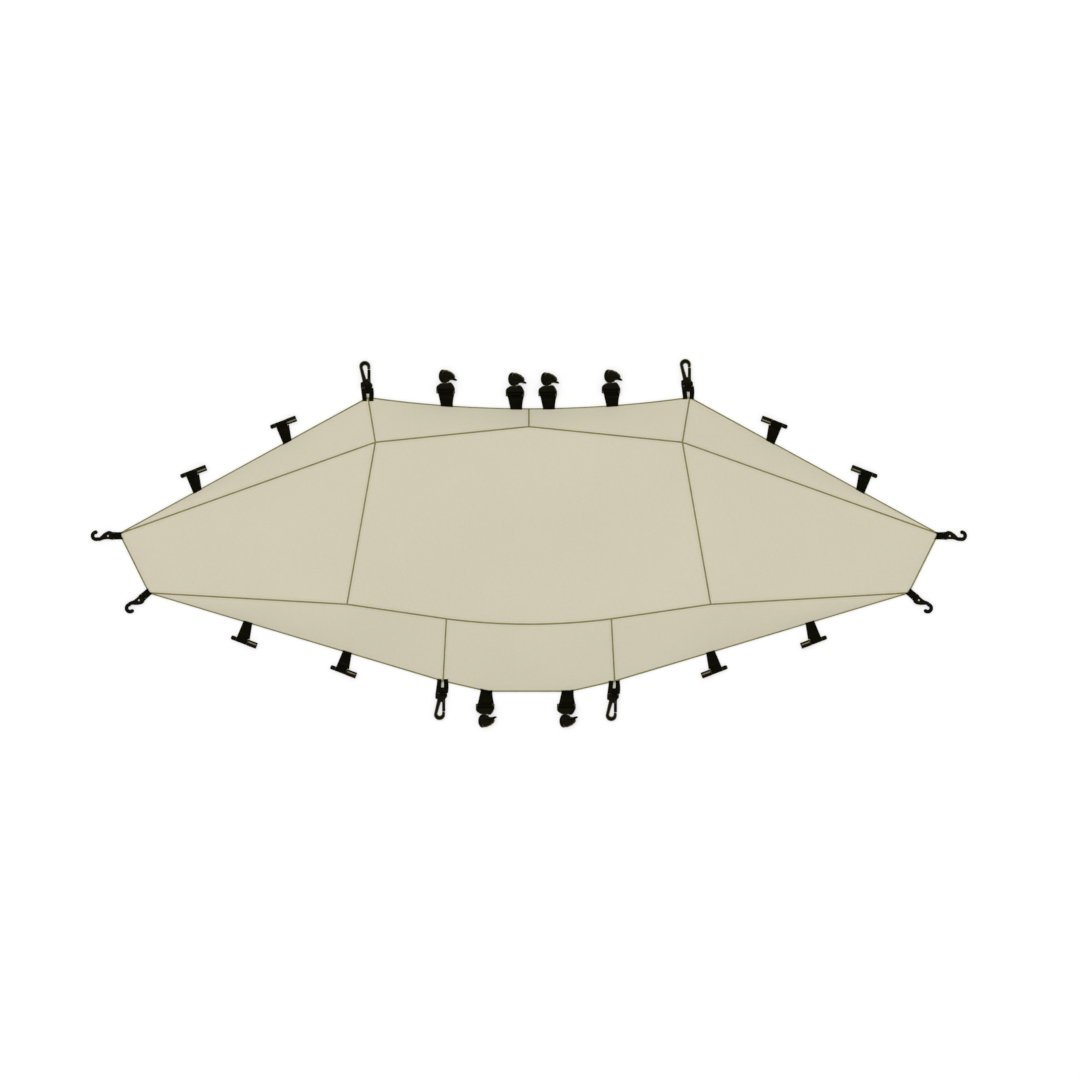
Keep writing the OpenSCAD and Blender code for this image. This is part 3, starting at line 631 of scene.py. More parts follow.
def upper_ply_z(y, eye, hem_y, slope):
    leave_y, leave_z = eye_exit(eye)
    down = leave_z - math.tan(math.radians(eye.fold)) * (leave_y - y)
    lying = lower_ply_z(y, eye) + webbing_t + ply_gap
    return softer_max(softer_max(down, lying, 0.4), over_hem_z(y - hem_y, slope), 0.2)


def spaced(a, b):
    count = max(1, round(abs(b - a) / strap_step))
    return [a + (b - a) * k / count for k in range(count + 1)]


# A strap is a grid that runs out along the lower ply, round the eye, and back along the upper ply to
# the hem, or to a straight end where one is given. Its width changes at the shoulder, and a notched
# strap is slit from its hem end.
def strap(columns, widths, shoulder, eye, slope, place, end=None, notch_l=0):
    middle_r = eye.bore_r + webbing_t / 2
    narrow_y = shoulder + 0.05
    out_ys = spaced(-tail_l, shoulder) + spaced(narrow_y, eye.reach)
    back_ys = spaced(eye_exit(eye)[0], narrow_y)[1:]
    back = round((shoulder + 2) / strap_step)
    eye_start = len(out_ys) - 1
    eye_end = eye_start + eye_steps
    rows = eye_end + len(back_ys) + 1 + back
    bpy.ops.object.select_all(action="DESELECT")
    bpy.ops.mesh.primitive_grid_add(x_subdivisions=len(columns) - 1, y_subdivisions=rows, size=1)
    band = bpy.context.object
    left, right = widths(0)
    hem_ys = [hem_ahead(place, left + (right - left) * c) + eye.reach for c in columns]
    spots = []
    uvs = []
    for v in band.data.vertices:
        i = round((v.co.x + 0.5) * (len(columns) - 1))
        j = round((v.co.y + 0.5) * rows)
        if j <= eye_start:
            y = out_ys[j]
            z = lower_ply_z(y, eye)
        elif j <= eye_end:
            a = math.radians(-90 + (180 + eye.fold) * (j - eye_start) / eye_steps)
            y = eye.reach + middle_r * math.cos(a)
            z = eye.bar_z + middle_r * math.sin(a)
        else:
            k = j - eye_end - 1
            last_y = hem_ys[i] - 1.3 if end is None else end
            to_end = (k - len(back_ys)) / back
            y = back_ys[k] if k < len(back_ys) else shoulder + (last_y - shoulder) * to_end
            z = upper_ply_z(y, eye, hem_ys[i], slope)
        left, right = widths(y)
        x = left + (right - left) * columns[i]
        spots.append((columns[i], y))
        uvs.append((x, strap_step * j))
        v.co = (x, y - eye.reach, z)
    flat = band.data.uv_layers.active.data
    for corner in band.data.loops:
        flat[corner.index].uv = uvs[corner.vertex_index]
    only(band)
    if notch_l:
        bpy.ops.object.mode_set(mode="EDIT")
        bpy.ops.mesh.select_mode(type="FACE")
        bpy.ops.mesh.select_all(action="DESELECT")
        bpy.ops.object.mode_set(mode="OBJECT")
        for face in band.data.polygons:
            across = sum(spots[i][0] for i in face.vertices) / 4
            y = sum(spots[i][1] for i in face.vertices) / 4
            face.select = 0.4 < across < 0.6 and y < notch_l
        bpy.ops.object.mode_set(mode="EDIT")
        bpy.ops.mesh.delete(type="FACE")
        bpy.ops.object.mode_set(mode="OBJECT")
    apply_modifier(band, "SOLIDIFY", thickness=webbing_t, offset=0)
    band.data.transform(place)
    return band


def joined(pieces):
    bpy.ops.object.select_all(action="DESELECT")
    for piece in pieces:
        piece.select_set(True)
    bpy.context.view_layer.objects.active = pieces[0]
    bpy.ops.object.join()
    return bpy.context.object


def loops(name, node, straps):
    webbing = joined(straps)
    webbing.name = name
    face_outward(webbing)
    smooth_below(webbing, 45)
    webbing.data.materials.append(black_webbing)
    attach(webbing, "cover")
    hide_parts(node)


even_columns = [k / 6 for k in range(7)]
tack_rows = []


def tack(place, widths, eye, y):
    z = upper_ply_z(y, eye, 0, 0)
    left, right = widths(y)
    ends = [place @ Vector((x, y - eye.reach, z)) for x in (left + 1.5, right - 1.5)]
    tack_rows.append([p / mm for p in ends])


toggle_shoulder = 30.5
toggle_tack = 24
toggle_eye = Eye(reach=39.1, bar_z=4.53, bore_r=3.28, fold=38)


def toggle_widths(y):
    out = min(1, max(0, y / toggle_eye.reach))
    return -10 - 1.45 * out, 11.45 if y > toggle_shoulder else 8.4 + 8 * out


toggle_places = {}
for row in ("rear", "front"):
    for side in ("left", "right"):
        for spot in ("outer", "inner"):
            toggle_places[f"toggle_{row}_{side}_{spot}"] = (row == "front") != (side == "right")
straps = []
for name, mirrored in toggle_places.items():
    place = on_floor(name + "_roll", mirrored, toggle_eye.bar_z)
    slope = 0.44 if "rear" in name else 0.3
    straps.append(strap(even_columns, toggle_widths, toggle_shoulder, toggle_eye, slope, place))
    tack(place, toggle_widths, toggle_eye, toggle_tack)
loops("toggle_webbing", "toggle_loops", straps)


corner_shoulder = 12.9
corner_tack = 8
corner_slope = 0.1
corner_eye = Eye(reach=17, bar_z=3.73, bore_r=2.48, fold=55)


def corner_widths(y):
    half = 5.25 if y > corner_shoulder else 7.2 + 0.03 * y
    return -half, half


corner_places = {"rear_left": False, "front_left": True, "rear_right": True, "front_right": False}
straps = []
for name, mirrored in corner_places.items():
    place = on_floor(f"corner_hook_{name}_swing", mirrored, corner_eye.bar_z)
    straps.append(strap(even_columns, corner_widths, corner_shoulder, corner_eye, corner_slope, place))
    tack(place, corner_widths, corner_eye, corner_tack)
loops("corner_hook_webbing", "corner_hook_loops", straps)


snap_shoulder = 23.1
snap_tack = 17
snap_notch = 12.5
snap_eye = Eye(reach=27.5, bar_z=4, bore_r=2.68, fold=50)


def snap_widths(y):
    if y > snap_shoulder:
        return -6.75, 6.75
    out = min(1, max(0, y / snap_shoulder))
    return -11 - 3 * out, 11 + math.sin(math.pi * out)


notched_columns = [k / 10 for k in range(11)]
snap_places = {"rear_left": -2.6, "rear_right": -2.6, "front_left": -4.1, "front_right": -2.6}
straps = []
for name, end in snap_places.items():
    place = on_floor(f"snap_hook_{name}_swing", "front" in name, snap_eye.bar_z)
    slope = 0.43 if "rear" in name else 0.33
    band = strap(notched_columns, snap_widths, snap_shoulder, snap_eye, slope, place, end, snap_notch)
    straps.append(band)
    tack(place, snap_widths, snap_eye, snap_tack)
loops("snap_hook_webbing", "snap_hook_loops", straps)


clip_shoulder = 24.8
clip_tack = 18
clip_eye = Eye(reach=31, bar_z=6, bore_r=3.08, fold=60)


def clip_widths(y):
    if y > clip_shoulder:
        return -17.85, 13.35
    out = min(1, max(0, y / clip_shoulder))
    return -11.5 - 5.5 * out, 12.2 + 3.4 * out * out


clip_places = ("rear_1", "rear_2", "rear_3", "rear_4", "front_1", "front_2")
straps = []
for name in clip_places:
    place = on_floor(f"clip_base_{name}_swing", "front" in name, clip_eye.bar_z)
    slope = 0.75 if "rear" in name else 0.3
    straps.append(strap(even_columns, clip_widths, clip_shoulder, clip_eye, slope, place))
    tack(place, clip_widths, clip_eye, clip_tack)
loops("clip_webbing", "clip_loops", straps)

tack_pitch = 3.2
thread_black = (0.009, 0.008, 0.004)
webbing_tacks = rows_of_thread("webbing_tacks", tack_rows, tack_pitch, webbing_t / 2 + stitch_lift)
webbing_tacks.data.materials.append(thread_finish("black thread", thread_black))
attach(webbing_tacks, "cover")


# Seam ends
# The allowance of each corner seam is left long, folded flat and stitched down its middle. It lies on
# the floor in the notch of the snap hook's strap.
seam_end_size = (3.4, 20, 1.1)
seam_end_middle = (-0.3, -25.6, 0.65)
seam_end_top = 1.2


def block(size, middle):
    bpy.ops.object.select_all(action="DESELECT")
    bpy.ops.mesh.primitive_cube_add(size=1)
    piece = bpy.context.object
    bpy.ops.object.mode_set(mode="EDIT")
    bpy.ops.mesh.select_all(action="SELECT")
    bpy.ops.transform.resize(value=size, center_override=(0, 0, 0))
    bpy.ops.transform.translate(value=middle)
    bpy.ops.object.mode_set(mode="OBJECT")
    return piece


def bevelled(piece, width, segments, bend):
    sharp = math.radians(bend)
    apply_modifier(piece, "BEVEL", width=width, segments=segments, limit_method="ANGLE", angle_limit=sharp)


def copied(template, place):
    piece = template.copy()
    piece.data = template.data.copy()
    bpy.context.scene.collection.objects.link(piece)
    piece.data.transform(place)
    if place.determinant() < 0:
        piece.data.flip_normals()
    return piece


folded_end = block(seam_end_size, seam_end_middle)
bevelled(folded_end, 0.45, 3, 40)
seam_end_copies = []
seam_end_rows = []
for name in snap_places:
    place = on_floor(f"snap_hook_{name}_swing", "front" in name, snap_eye.bar_z)
    seam_end_copies.append(copied(folded_end, place))
    ends = [Vector((seam_end_middle[0], y, seam_end_top)) for y in (-34, -16.5)]
    seam_end_rows.append([place @ p / mm for p in ends])
bpy.data.objects.remove(folded_end)
seam_ends = joined(seam_end_copies)
seam_ends.name = "seam_ends"
face_outward(seam_ends)
smooth_below(seam_ends, 40)
seam_ends.data.materials.append(canvas)
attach(seam_ends, "cover")
seam_end_stitches = rows_of_thread("seam_end_stitches", seam_end_rows, stitch_pitch, 0.05)
seam_end_stitches.data.materials.append(beige_thread)
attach(seam_end_stitches, "cover")


# Toggles
# One moulded bar each, in black plastic: a shaft through the loop's eye, a domed round end on one side
# and a square end with a shallow slot on the other.
plastic_black = (0.0018, 0.0017, 0.0006, 1)
# Pale olive of the edges: partly worn plastic, partly painted highlight on the slanted edges.
plastic_worn_and_lit = (0.12, 0.109, 0.037, 1)
slot_tan = (0.27, 0.24, 0.11)


def plastic_finish():
    material, tree, shader, place = new_finish("black plastic")
    # This mask paints slanted edges pale olive, as wear and as painted highlight.
    wear_and_highlight_map = tree.nodes.new("ShaderNodeAttribute")
    wear_and_highlight_map.attribute_name = "wear_and_highlight"
    patchy = mottled(tree, place, 220, 4, 0.35, 1)
    worn_and_highlit = combined(tree, "MULTIPLY", wear_and_highlight_map.outputs["Fac"], patchy)
    tone = tree.nodes.new("ShaderNodeMix")
    tone.data_type = "RGBA"
    tone.inputs["A"].default_value = plastic_black
    tone.inputs["B"].default_value = plastic_worn_and_lit
    tree.links.new(worn_and_highlit, tone.inputs["Factor"])
    tree.links.new(tone.outputs["Result"], shader.inputs["Base Color"])
    tree.links.new(mottled(tree, place, 90, 3, 0.34, 0.5), shader.inputs["Roughness"])
    shader.inputs["Specular IOR Level"].default_value = 0.05
    shader.inputs["Specular Tint"].default_value = (1, 0.93, 0.6, 1)
    bumped(tree, noise(tree, place, 1400, 2), shader, 0.12, 0.0003)
    return material


def slot_finish():
    material, tree, shader, place = new_finish("pale slot")
    share = mottled(tree, place, 300, 3, 0.8, 1.2)
    tree.links.new(shaded(tree, slot_tan, share), shader.inputs["Base Color"])
    tree.links.new(mottled(tree, place, 150, 2, 0.5, 0.7), shader.inputs["Roughness"])
    shader.inputs["Specular IOR Level"].default_value = 0.2
    bumped(tree, noise(tree, place, 1400, 2), shader, 0.12, 0.0003)
    return material


black_plastic = plastic_finish()
pale_slot = slot_finish()


def turned(profile, sides):
    bpy.ops.object.select_all(action="DESELECT")
    x, r = profile[0]
    bpy.ops.mesh.primitive_circle_add(vertices=sides, radius=r, fill_type="NGON")
    bpy.ops.object.mode_set(mode="EDIT")
    bpy.ops.mesh.select_all(action="SELECT")
    bpy.ops.transform.translate(value=(0, 0, x))
    for next_x, next_r in profile[1:]:
        bpy.ops.mesh.extrude_region_move(TRANSFORM_OT_translate={"value": (0, 0, next_x - x)})
        bpy.ops.transform.resize(value=(next_r / r, next_r / r, 1), center_override=(0, 0, next_x))
        x, r = next_x, next_r
    bpy.ops.mesh.select_all(action="SELECT")
    bpy.ops.mesh.normals_make_consistent(inside=False)
    bpy.ops.object.mode_set(mode="OBJECT")
    piece = bpy.context.object
    piece.data.transform(Matrix.Rotation(math.radians(90), 4, "Y"))
    return piece


def faces_beside_edges(mesh):
    beside = {}
    for face in mesh.polygons:
        for edge in face.edge_keys:
            beside.setdefault(edge, []).append(face)
    return beside


# The faces beside a bend of more than this angle are painted pale, partly as worn edges and partly as
# painted highlight where light would catch them, but not the tops and the upright sides, and where one way
# is given, not the faces turned away from it.
def worn_and_highlit_edges(template, bend, facing=Vector((0, 0, 0))):
    mesh = template.data
    values = [0.0] * len(mesh.polygons)
    for faces in faces_beside_edges(mesh).values():
        if len(faces) != 2 or faces[0].normal.angle(faces[1].normal, 0) < math.radians(bend):
            continue
        outward = faces[0].normal.dot(faces[1].center - faces[0].center) < 0
        for face in faces:
            if outward and 0.2 < abs(face.normal.z) < 0.96 and face.normal.dot(facing) > -0.1:
                values[face.index] = 1.0
    wear_and_highlight = mesh.attributes.new("wear_and_highlight", "FLOAT", "FACE")
    wear_and_highlight.data.foreach_set("value", values)


# On a moulding of small even faces the pale wear and painted highlight fades in round each tight outward
# curve instead. The knuckles stay black, because the strap shelters them.
def worn_and_highlit_curves(template, mild, full):
    mesh = template.data
    bends = [0.0] * len(mesh.vertices)
    around = [[] for v in mesh.vertices]
    for (a, b), faces in faces_beside_edges(mesh).items():
        around[a].append(b)
        around[b].append(a)
        if len(faces) != 2 or faces[0].normal.dot(faces[1].center - faces[0].center) > 0:
            continue
        bend = math.degrees(faces[0].normal.angle(faces[1].normal, 0))
        bends[a] = max(bends[a], bend)
        bends[b] = max(bends[b], bend)
    for smoothing in range(3):
        sums = [bends[i] + sum(bends[k] for k in near) for i, near in enumerate(around)]
        bends = [total / (1 + len(near)) for total, near in zip(sums, around)]
    values = []
    for v, bend in zip(mesh.vertices, bends):
        slanted = max(0, min(1, (0.98 - abs(v.normal.z)) / 0.06, (abs(v.normal.z) - 0.1) / 0.2))
        open_to_wear_and_light = max(0, min(1, (v.co.y - 4) / 2))
        values.append(slanted * open_to_wear_and_light * max(0, min(1, (bend - mild) / (full - mild))))
    wear_and_highlight = mesh.attributes.new("wear_and_highlight", "FLOAT", "POINT")
    wear_and_highlight.data.foreach_set("value", values)


def fitted(template, name, place, body):
    piece = copied(template, place)
    piece.name = name
    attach(piece, body)
    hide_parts(body)


tip_dome = [(-22.1, 1.6), (-21.8, 2.65), (-21.25, 3.5), (-20.4, 4.1), (-19.2, 4.37), (-17.8, 4.4)]
shaft = turned(tip_dome + [(-12.2, 4.4), (-11.7, 4.2), (-11.5, 3.2), (12, 3.2)], 32)
shaft.data.materials.append(black_plastic)
square_x = 22.05
square_y = -1.4
square_top = 4.5
slot_y = -3
slot_floor = 2.6
square_end = block((21.1, 12.4, 2 * square_top), (square_x, square_y, 0))
bevelled(square_end, 1.0, 3, 40)
for face in square_end.data.polygons:
    face.select = face.normal.z > 0.99
only(square_end)
bpy.ops.object.mode_set(mode="EDIT")
bpy.ops.mesh.select_mode(type="FACE")
bpy.ops.mesh.inset(thickness=0.25)
bpy.ops.transform.resize(value=(1, 0.3, 1), center_override=(square_x, square_y, square_top))
bpy.ops.transform.translate(value=(0, slot_y - square_y, 0))
bpy.ops.mesh.extrude_region_move(TRANSFORM_OT_translate={"value": (0, 0, slot_floor - square_top)})
bpy.ops.transform.resize(value=(0.97, 0.85, 1), center_override=(square_x, slot_y, slot_floor))
bpy.ops.object.mode_set(mode="OBJECT")
square_end.data.materials.append(black_plastic)
square_end.data.materials.append(pale_slot)
for face in square_end.data.polygons:
    if face.normal.z > 0.99 and face.center.z < square_top - 1:
        face.material_index = 1
toggle = joined([square_end, shaft])
smooth_below(toggle, 38)
worn_and_highlit_edges(toggle, 25)
for name, mirrored in toggle_places.items():
    fitted(toggle, name + "_bar", fitting_place(name + "_roll", mirrored), name)
bpy.data.objects.remove(toggle)


# Corner hooks
# Open hooks moulded in one piece: a frame round the loop, a flat shank with a lashing hole, and a
# round rod that bends back on itself to a blunt tip.
def plate(outline, bottom, top):
    bpy.ops.object.select_all(action="DESELECT")
    bpy.ops.mesh.primitive_circle_add(vertices=len(outline), radius=1, fill_type="NGON")
    piece = bpy.context.object
    for v, (x, y) in zip(piece.data.vertices, outline):
        v.co = (x, y, bottom)
    bpy.ops.object.mode_set(mode="EDIT")
    bpy.ops.mesh.select_all(action="SELECT")
    bpy.ops.mesh.extrude_region_move(TRANSFORM_OT_translate={"value": (0, 0, top - bottom)})
    bpy.ops.mesh.select_all(action="SELECT")
    bpy.ops.mesh.normals_make_consistent(inside=False)
    bpy.ops.object.mode_set(mode="OBJECT")
    return piece


def arc(centre, r, start, end, steps):
    turn = [math.radians(start + (end - start) * k / steps) for k in range(steps + 1)]
    return [(centre[0] + r * math.cos(a), centre[1] + r * math.sin(a)) for a in turn]


def cut(piece, cutter):
    apply_modifier(piece, "BOOLEAN", object=cutter, operation="DIFFERENCE", solver="EXACT")
    bpy.data.objects.remove(cutter)


def upright(x, y, r, half):
    pin = turned([(-half, r), (half, r)], 32)
    pin.data.transform(Matrix.Rotation(math.radians(90), 4, "Y"))
    pin.data.transform(Matrix.Translation((x, y, 0)))
    return pin


def moulded(pieces, grain, passes):
    whole = joined(pieces)
    apply_modifier(whole, "REMESH", mode="VOXEL", voxel_size=grain)
    apply_modifier(whole, "SMOOTH", factor=0.5, iterations=passes)
    return whole


# The room for a loop's eye is round the bar above, so that the frame reaches over the eye, and open below.
def eye_room(left, right, r, end_y, lip_y):
    round_bar = turned([(left, r), (right, r)], 48)
    below = plate([(left, -7), (right, -7), (right, end_y), (left, end_y)], -8, 0)
    behind = plate([(left, -7), (right, -7), (right, lip_y), (left, lip_y)], -1, 8)
    return round_bar, below, behind


bar_half = 5.3
rod_r = 3.85
bend_middle = (0.1, 32.25)
bend_r = 7.1
flattening = 0.93
lashing_place = (-0.4, 8.58, 0)
shank = plate([(-7.9, 0), (-7.8, 2), (-7, 4), (-6.9, 10), (-7.1, 14), (-7.8, 18), (-9.4, 22), (-10.6, 26),
               (-10.3, 29.4), (-4.2, 29), (-3.3, 26), (0.5, 22), (4.3, 18), (7, 14), (9.1, 10), (10, 6.2),
               (9.5, 2.8), (8, 0.8), (7.9, 0)], -3.3, 3.3)
bevelled(shank, 0.9, 3, 50)
knuckles = []
for x in (-7.9, bar_half):
    knuckles.append(turned([(x, 2.8), (x + 0.4, 3.6), (x + 2.2, 3.6), (x + 2.6, 2.8)], 24))
bend = arc(bend_middle, bend_r, 5, 205, 36) + [(-6.8, 26.5), (-6, 23.5), (-4.6, 21), (-3, 18)]
# The hook is shaped in millimetres and scaled where it is fitted, so the cord's own scale is taken out.
rod_run = [Vector((x, y, 0)) / mm for x, y in bend]
rod = corded("rod", [rod_run], rod_r / mm, False, 12)
bpy.ops.object.select_all(action="DESELECT")
bpy.ops.mesh.primitive_uv_sphere_add(segments=24, ring_count=16, radius=4, location=(7.17, 32.87, 0))
bpy.ops.object.transform_apply(location=True, rotation=True, scale=True)
blunt_tip = bpy.context.object
corner_hook = moulded([shank, rod, blunt_tip] + knuckles, 0.42, 3)
worn_and_highlit_curves(corner_hook, 13, 24)
corner_hook.data.transform(Matrix.Diagonal((1, 1, flattening, 1)))
corner_hook.data.materials.append(black_plastic)
corner_hook.data.materials.append(pale_slot)
for cutter in eye_room(-bar_half, bar_half, 3.75, 4.08, 1.6):
    cut(corner_hook, cutter)
lashing_hole = turned([(-8, 2.1), (-3.07, 2.1), (-2.2, 1.3), (2.2, 1.3), (3.07, 2.1), (8, 2.1)], 32)
lashing_hole.data.transform(Matrix.Translation(lashing_place) @ Matrix.Rotation(math.radians(90), 4, "Y"))
lashing_hole.data.materials.append(black_plastic)
lashing_hole.data.materials.append(pale_slot)
for face in lashing_hole.data.polygons:
    face.material_index = 1
cut(corner_hook, lashing_hole)
corner_hook = joined([corner_hook, turned([(-6, 2.4), (6, 2.4)], 24)])
smooth_below(corner_hook, 45)
for name, mirrored in corner_places.items():
    body = "corner_hook_" + name
    fitted(corner_hook, body + "_moulding", fitting_place(body + "_swing", mirrored), body)
bpy.data.objects.remove(corner_hook)


# Snap hooks
# A moulded body with a frame round the loop, a fork for the gate and a teardrop bow with rounded
# sides. The gate is a flat finger on a steel pin, sprung shut against the bow's nose.
snap_bar_half = 6.8
gate_pin = (2.2, 11.5)
gate_l = 21.2
gate_turn = 18
fork_half = 2.3
frame_part = plate([(-14.5, 0), (-14.7, 3), (-14.5, 6.6), (-13.9, 7.5), (-11.3, 8.3), (-9, 13),
                    (-2.9, 13.9), (-1.1, 14.8), (3.5, 14.8), (5.5, 13.1), (5.5, 8), (6.6, 6.6),
                    (8.2, 4.5), (9.2, 1.6), (9.3, 0)], -4, 4)
bevelled(frame_part, 0.9, 3, 40)
bow_outline = [(-10.4, 7)] + arc((-6.2, 39.2), 11.2, 184, 0, 28) + [(5, 33), (-1.4, 33)]
bow_outline += arc((-5.8, 37), 4.4, 0, 180, 18) + [(-6.6, 24.5), (-3.4, 14.5), (-2.9, 7)]
bow = plate(bow_outline, -4, 4)
bevelled(bow, 2.3, 4, 60)
left_knuckle = turned([(-14.5, 3.4), (-14, 3.85), (-snap_bar_half, 3.85)], 24)
right_knuckle = turned([(snap_bar_half, 3.85), (8.7, 3.85), (9.2, 3.4)], 24)
snap_hook = moulded([frame_part, bow, left_knuckle, right_knuckle], 0.42, 2)
worn_and_highlit_curves(snap_hook, 3, 8)
for cutter in eye_room(-snap_bar_half, snap_bar_half, 3.95, 4.28, 2.2):
    cut(snap_hook, cutter)
at_pin = Matrix.Translation((*gate_pin, 0))
for turn in (0, gate_turn):
    gate_room = plate([(-3.45, 0), (3.45, 0), (3.45, gate_l), (-3.45, gate_l)], -fork_half, fork_half)
    gate_room.data.transform(at_pin @ Matrix.Rotation(math.radians(turn), 4, "Z"))
    cut(snap_hook, gate_room)
cut(snap_hook, upright(*gate_pin, 3.6, fork_half))
cut(snap_hook, upright(*gate_pin, 1.27, 6))
snap_hook = joined([snap_hook, turned([(-8, 2.6), (8, 2.6)], 24)])
smooth_below(snap_hook, 45)
snap_hook.data.materials.append(black_plastic)
gate_outline = arc((0, 0), 3.3, 172, 360, 20) + [(3.1, 0.5), (3.1, gate_l), (-3.2, gate_l), (-3.2, 0.6)]
gate = plate(gate_outline, -2, 2)
bevelled(gate, 0.6, 3, 50)
gate.data.transform(at_pin)
cut(gate, upright(*gate_pin, 1.33, 6))
smooth_below(gate, 40)
worn_and_highlit_edges(gate, 15)
gate.data.materials.append(black_plastic)
steel_black = (0.02, 0.02, 0.018)


def steel_finish():
    material, tree, shader, place = new_finish("blackened steel")
    share = mottled(tree, place, 500, 3, 0.8, 1.1)
    tree.links.new(shaded(tree, steel_black, share), shader.inputs["Base Color"])
    tree.links.new(mottled(tree, place, 900, 2, 0.45, 0.6), shader.inputs["Roughness"])
    shader.inputs["Metallic"].default_value = 1
    bumped(tree, weave(tree, place, 1500, "Z"), shader, 0.1, 0.0001)
    return material


black_steel = steel_finish()
for name in snap_places:
    place = fitting_place(f"snap_hook_{name}_swing", "front" in name)
    hook_body = "snap_hook_" + name
    gate_body = "snap_gate_" + name
    fitted(snap_hook, hook_body + "_moulding", place, hook_body)
    fitted(gate, gate_body + "_finger", place, gate_body)
    pin = frame["nodes"]["snap_pin_" + name]
    for k in range(len(pin.material_slots)):
        pin.material_slots[k].material = black_steel
bpy.data.objects.remove(snap_hook)
bpy.data.objects.remove(gate)


# Swivel clips
# A domed base carries the loop's bar under its cap and is bored for the swivel. The head turns in it on
# a flanged post, and carries a rounded boss, a faceted beak and a springy lip under the beak.
bar_left = -17.9
bar_right = 13.4
swivel_x = -4
swivel_y = 15.78
dome = plate([(-20.9, 0), (-20.9, 6.2), (-20.4, 7.9), (-18.9, 10.1), (-15, 13.1), (-12, 14.8),
              (-9.5, 15.48), (2.1, 15.48), (2.9, 16.25), (5.2, 16.6), (8.6, 16.3), (10.2, 15),
              (11.8, 13.2), (13.9, 10), (15.6, 6), (16.4, 2.2), (16.5, 0)], -6, 6)
bevelled(dome, 1.5, 4, 60)
ends = [turned([(-21, 5), (-20.3, 5.7), (-19.5, 5.85), (bar_left, 5.85)], 32),
        turned([(bar_right, 5.85), (15, 5.85), (15.8, 5.7), (16.5, 5)], 32)]
for end in ends:
    apply_modifier(dome, "BOOLEAN", object=end, operation="UNION", solver="EXACT")
    bpy.data.objects.remove(end)
for reach, bottom, top in ((7.48, -8, 5), (3.2, 4, 8)):
    cut(dome, plate([(bar_left, -7), (bar_right, -7), (bar_right, reach), (bar_left, reach)], bottom, top))
bore = turned([(5, 3.58), (20, 3.58)], 32)
bore.data.transform(Matrix.Translation((swivel_x, 0, 0)) @ Matrix.Rotation(math.radians(90), 4, "Z"))
cut(dome, bore)
clip_bar = turned([(-18.5, 3), (14, 3)], 32)
clip_base = joined([dome, clip_bar])
smooth_below(clip_base, 35)
worn_and_highlit_edges(clip_base, 15)
clip_base.data.materials.append(black_plastic)

bpy.ops.object.select_all(action="DESELECT")
bpy.ops.mesh.primitive_uv_sphere_add(segments=40, ring_count=24, radius=1)
boss = bpy.context.object
boss.data.transform(Matrix.Translation((-3.6, 13.1, 0)) @ Matrix.Diagonal((8.6, 13.35, 6, 1)))
beak_top = 5.5
beak = plate([(-3.6, 9.6), (-5.8, 16), (-4.8, 24), (-2.1, 25.8), (4.6, 25.4), (13.6, 21.4), (19.9, 15.9),
              (21.2, 11), (20.6, 8.2), (10, 8.8)], -beak_top, beak_top)
bevelled(beak, 2.3, 1, 60)
pivot_dent = upright(11, 13.4, 2.3, 2)
pivot_dent.data.transform(Matrix.Translation((0, 0, beak_top)))
cut(beak, pivot_dent)
# The beak's slanted edges on one side are painted pale: wear and painted highlight.
worn_and_highlit_edges(beak, 40, Vector((0, 1, 0)))
lip = plate([(-1.8, 0.95), (7.6, 0.95), (8.9, 2.4), (10, 4.5), (14.5, 4.9), (22.2, 3.3), (25, 4.1),
             (25, 5.8), (20.6, 9), (14, 10), (4.4, 10.6), (-1.8, 10.8)], -5, 5)
bevelled(lip, 0.9, 2, 40)
# The lip's slanted edges on the other side are painted pale: wear and painted highlight.
worn_and_highlit_edges(lip, 40, Vector((0, -1, 0)))
flange = [(-11.1, 4.3), (-10.8, 4.7), (-8.6, 4.7), (-8.6, 3.5)]
post = turned(flange + [(0.05, 3.5), (0.05, 5.4), (0.5, 5.8), (6, 5.8)], 32)
post.data.transform(Matrix.Rotation(math.radians(90), 4, "Z"))
clip_head = joined([boss, beak, lip, post])
smooth_below(clip_head, 30)
clip_head.data.transform(Matrix.Translation((swivel_x, swivel_y, 0)))
clip_head.data.materials.append(black_plastic)
for name in clip_places:
    place = fitting_place(f"clip_base_{name}_swing", "front" in name)
    base_body = "clip_base_" + name
    head_body = "clip_head_" + name
    fitted(clip_base, base_body + "_moulding", place, base_body)
    fitted(clip_head, head_body + "_moulding", place, head_body)
bpy.data.objects.remove(clip_base)
bpy.data.objects.remove(clip_head)


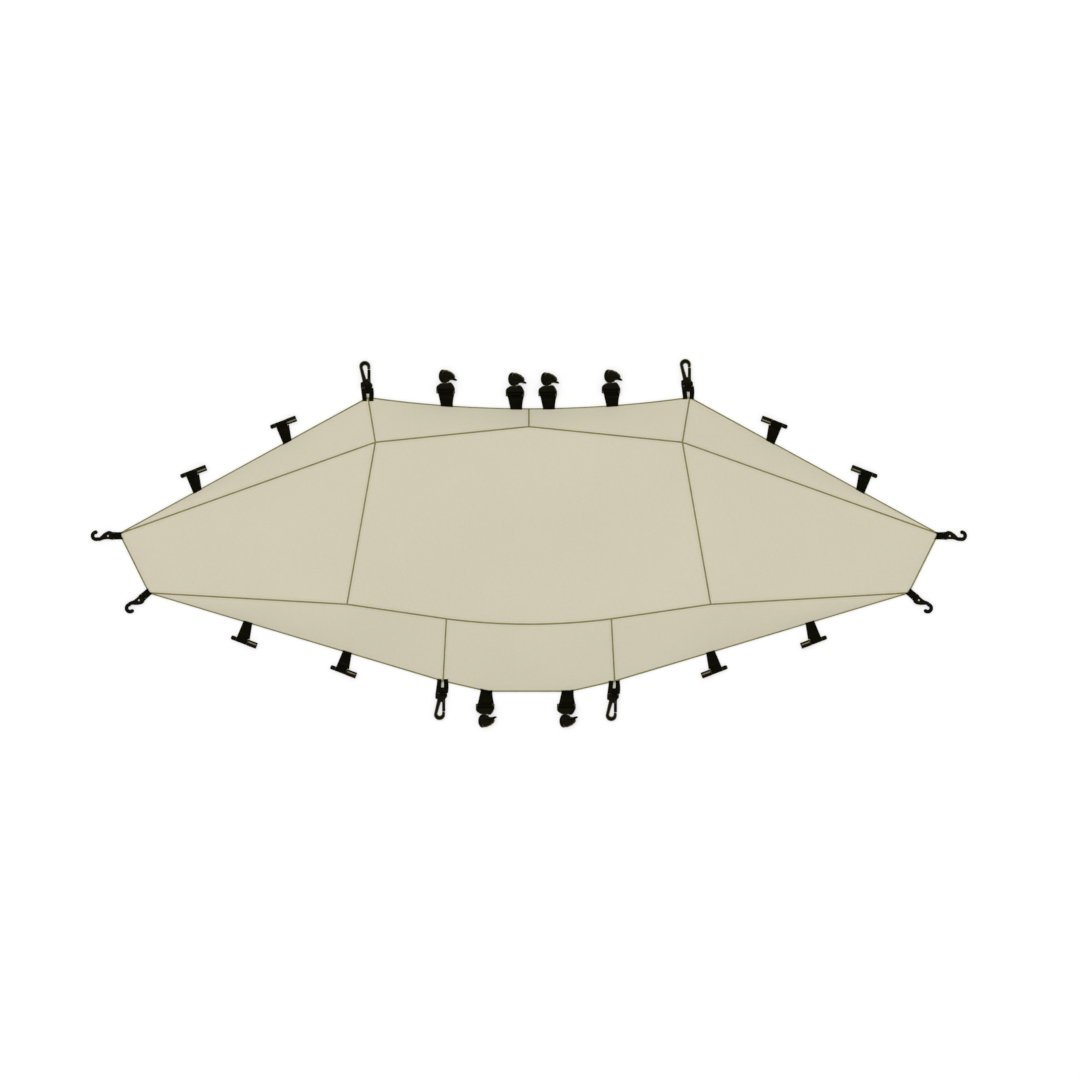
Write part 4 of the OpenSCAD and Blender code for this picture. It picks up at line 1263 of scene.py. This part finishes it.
# Studio
# The cover lies on a plain white floor under an even white sky with one weak soft lamp, and the camera
# looks straight down on it.
def seen_directly(tree):
    rays = tree.nodes.new("ShaderNodeLightPath").outputs
    direct = combined(tree, "MAXIMUM", rays["Is Camera Ray"], rays["Is Glossy Ray"])
    return combined(tree, "MAXIMUM", direct, rays["Is Transmission Ray"])


scene = bpy.context.scene
scene.view_settings.view_transform = "Standard"
bpy.ops.object.select_all(action="DESELECT")
bpy.ops.mesh.primitive_plane_add(size=14, location=(0, 0, 0))
floor = bpy.context.object
floor.name = "floor"
floor.data.transform(Matrix.Translation((0, 0, -0.0003)))
floor_paint = bpy.data.materials.new("white floor")
tree = tree_of(floor_paint)
shader = tree.nodes["Principled BSDF"]
shader.inputs["Base Color"].default_value = (0.42, 0.42, 0.42, 1)
shader.inputs["Roughness"].default_value = 0.9
shader.inputs["Specular IOR Level"].default_value = 0
shader.inputs["Emission Color"].default_value = (1, 1, 1, 1)
own_white = combined(tree, "MULTIPLY", seen_directly(tree), 0.6)
tree.links.new(own_white, shader.inputs["Emission Strength"])
floor.data.materials.append(floor_paint)

sky = bpy.data.worlds.new("white sky")
scene.world = sky
tree = tree_of(sky)
light = tree.nodes["Background"]
light.inputs["Color"].default_value = (1, 1, 1, 1)
light.inputs["Strength"].default_value = 0.8
white = tree.nodes.new("ShaderNodeBackground")
white.inputs["Color"].default_value = (1, 1, 1, 1)
white.inputs["Strength"].default_value = 1
either = tree.nodes.new("ShaderNodeMixShader")
tree.links.new(seen_directly(tree), either.inputs["Fac"])
tree.links.new(light.outputs["Background"], either.inputs[1])
tree.links.new(white.outputs["Background"], either.inputs[2])
tree.links.new(either.outputs["Shader"], tree.nodes["World Output"].inputs["Surface"])

bpy.ops.object.light_add(type="SUN", location=(-1, 1, 3))
lamp = bpy.context.object
lamp.data.energy = 0.66
lamp.data.angle = math.radians(40)
lamp.rotation_euler = Vector((0.2, -0.24, -0.95)).to_track_quat("-Z", "Y").to_euler()

bpy.ops.object.camera_add(location=(0.02226, 0.00875, 3), rotation=(0, 0, 0))
camera = bpy.context.object
camera.data.type = "ORTHO"
camera.data.ortho_scale = 2.16
scene.camera = camera
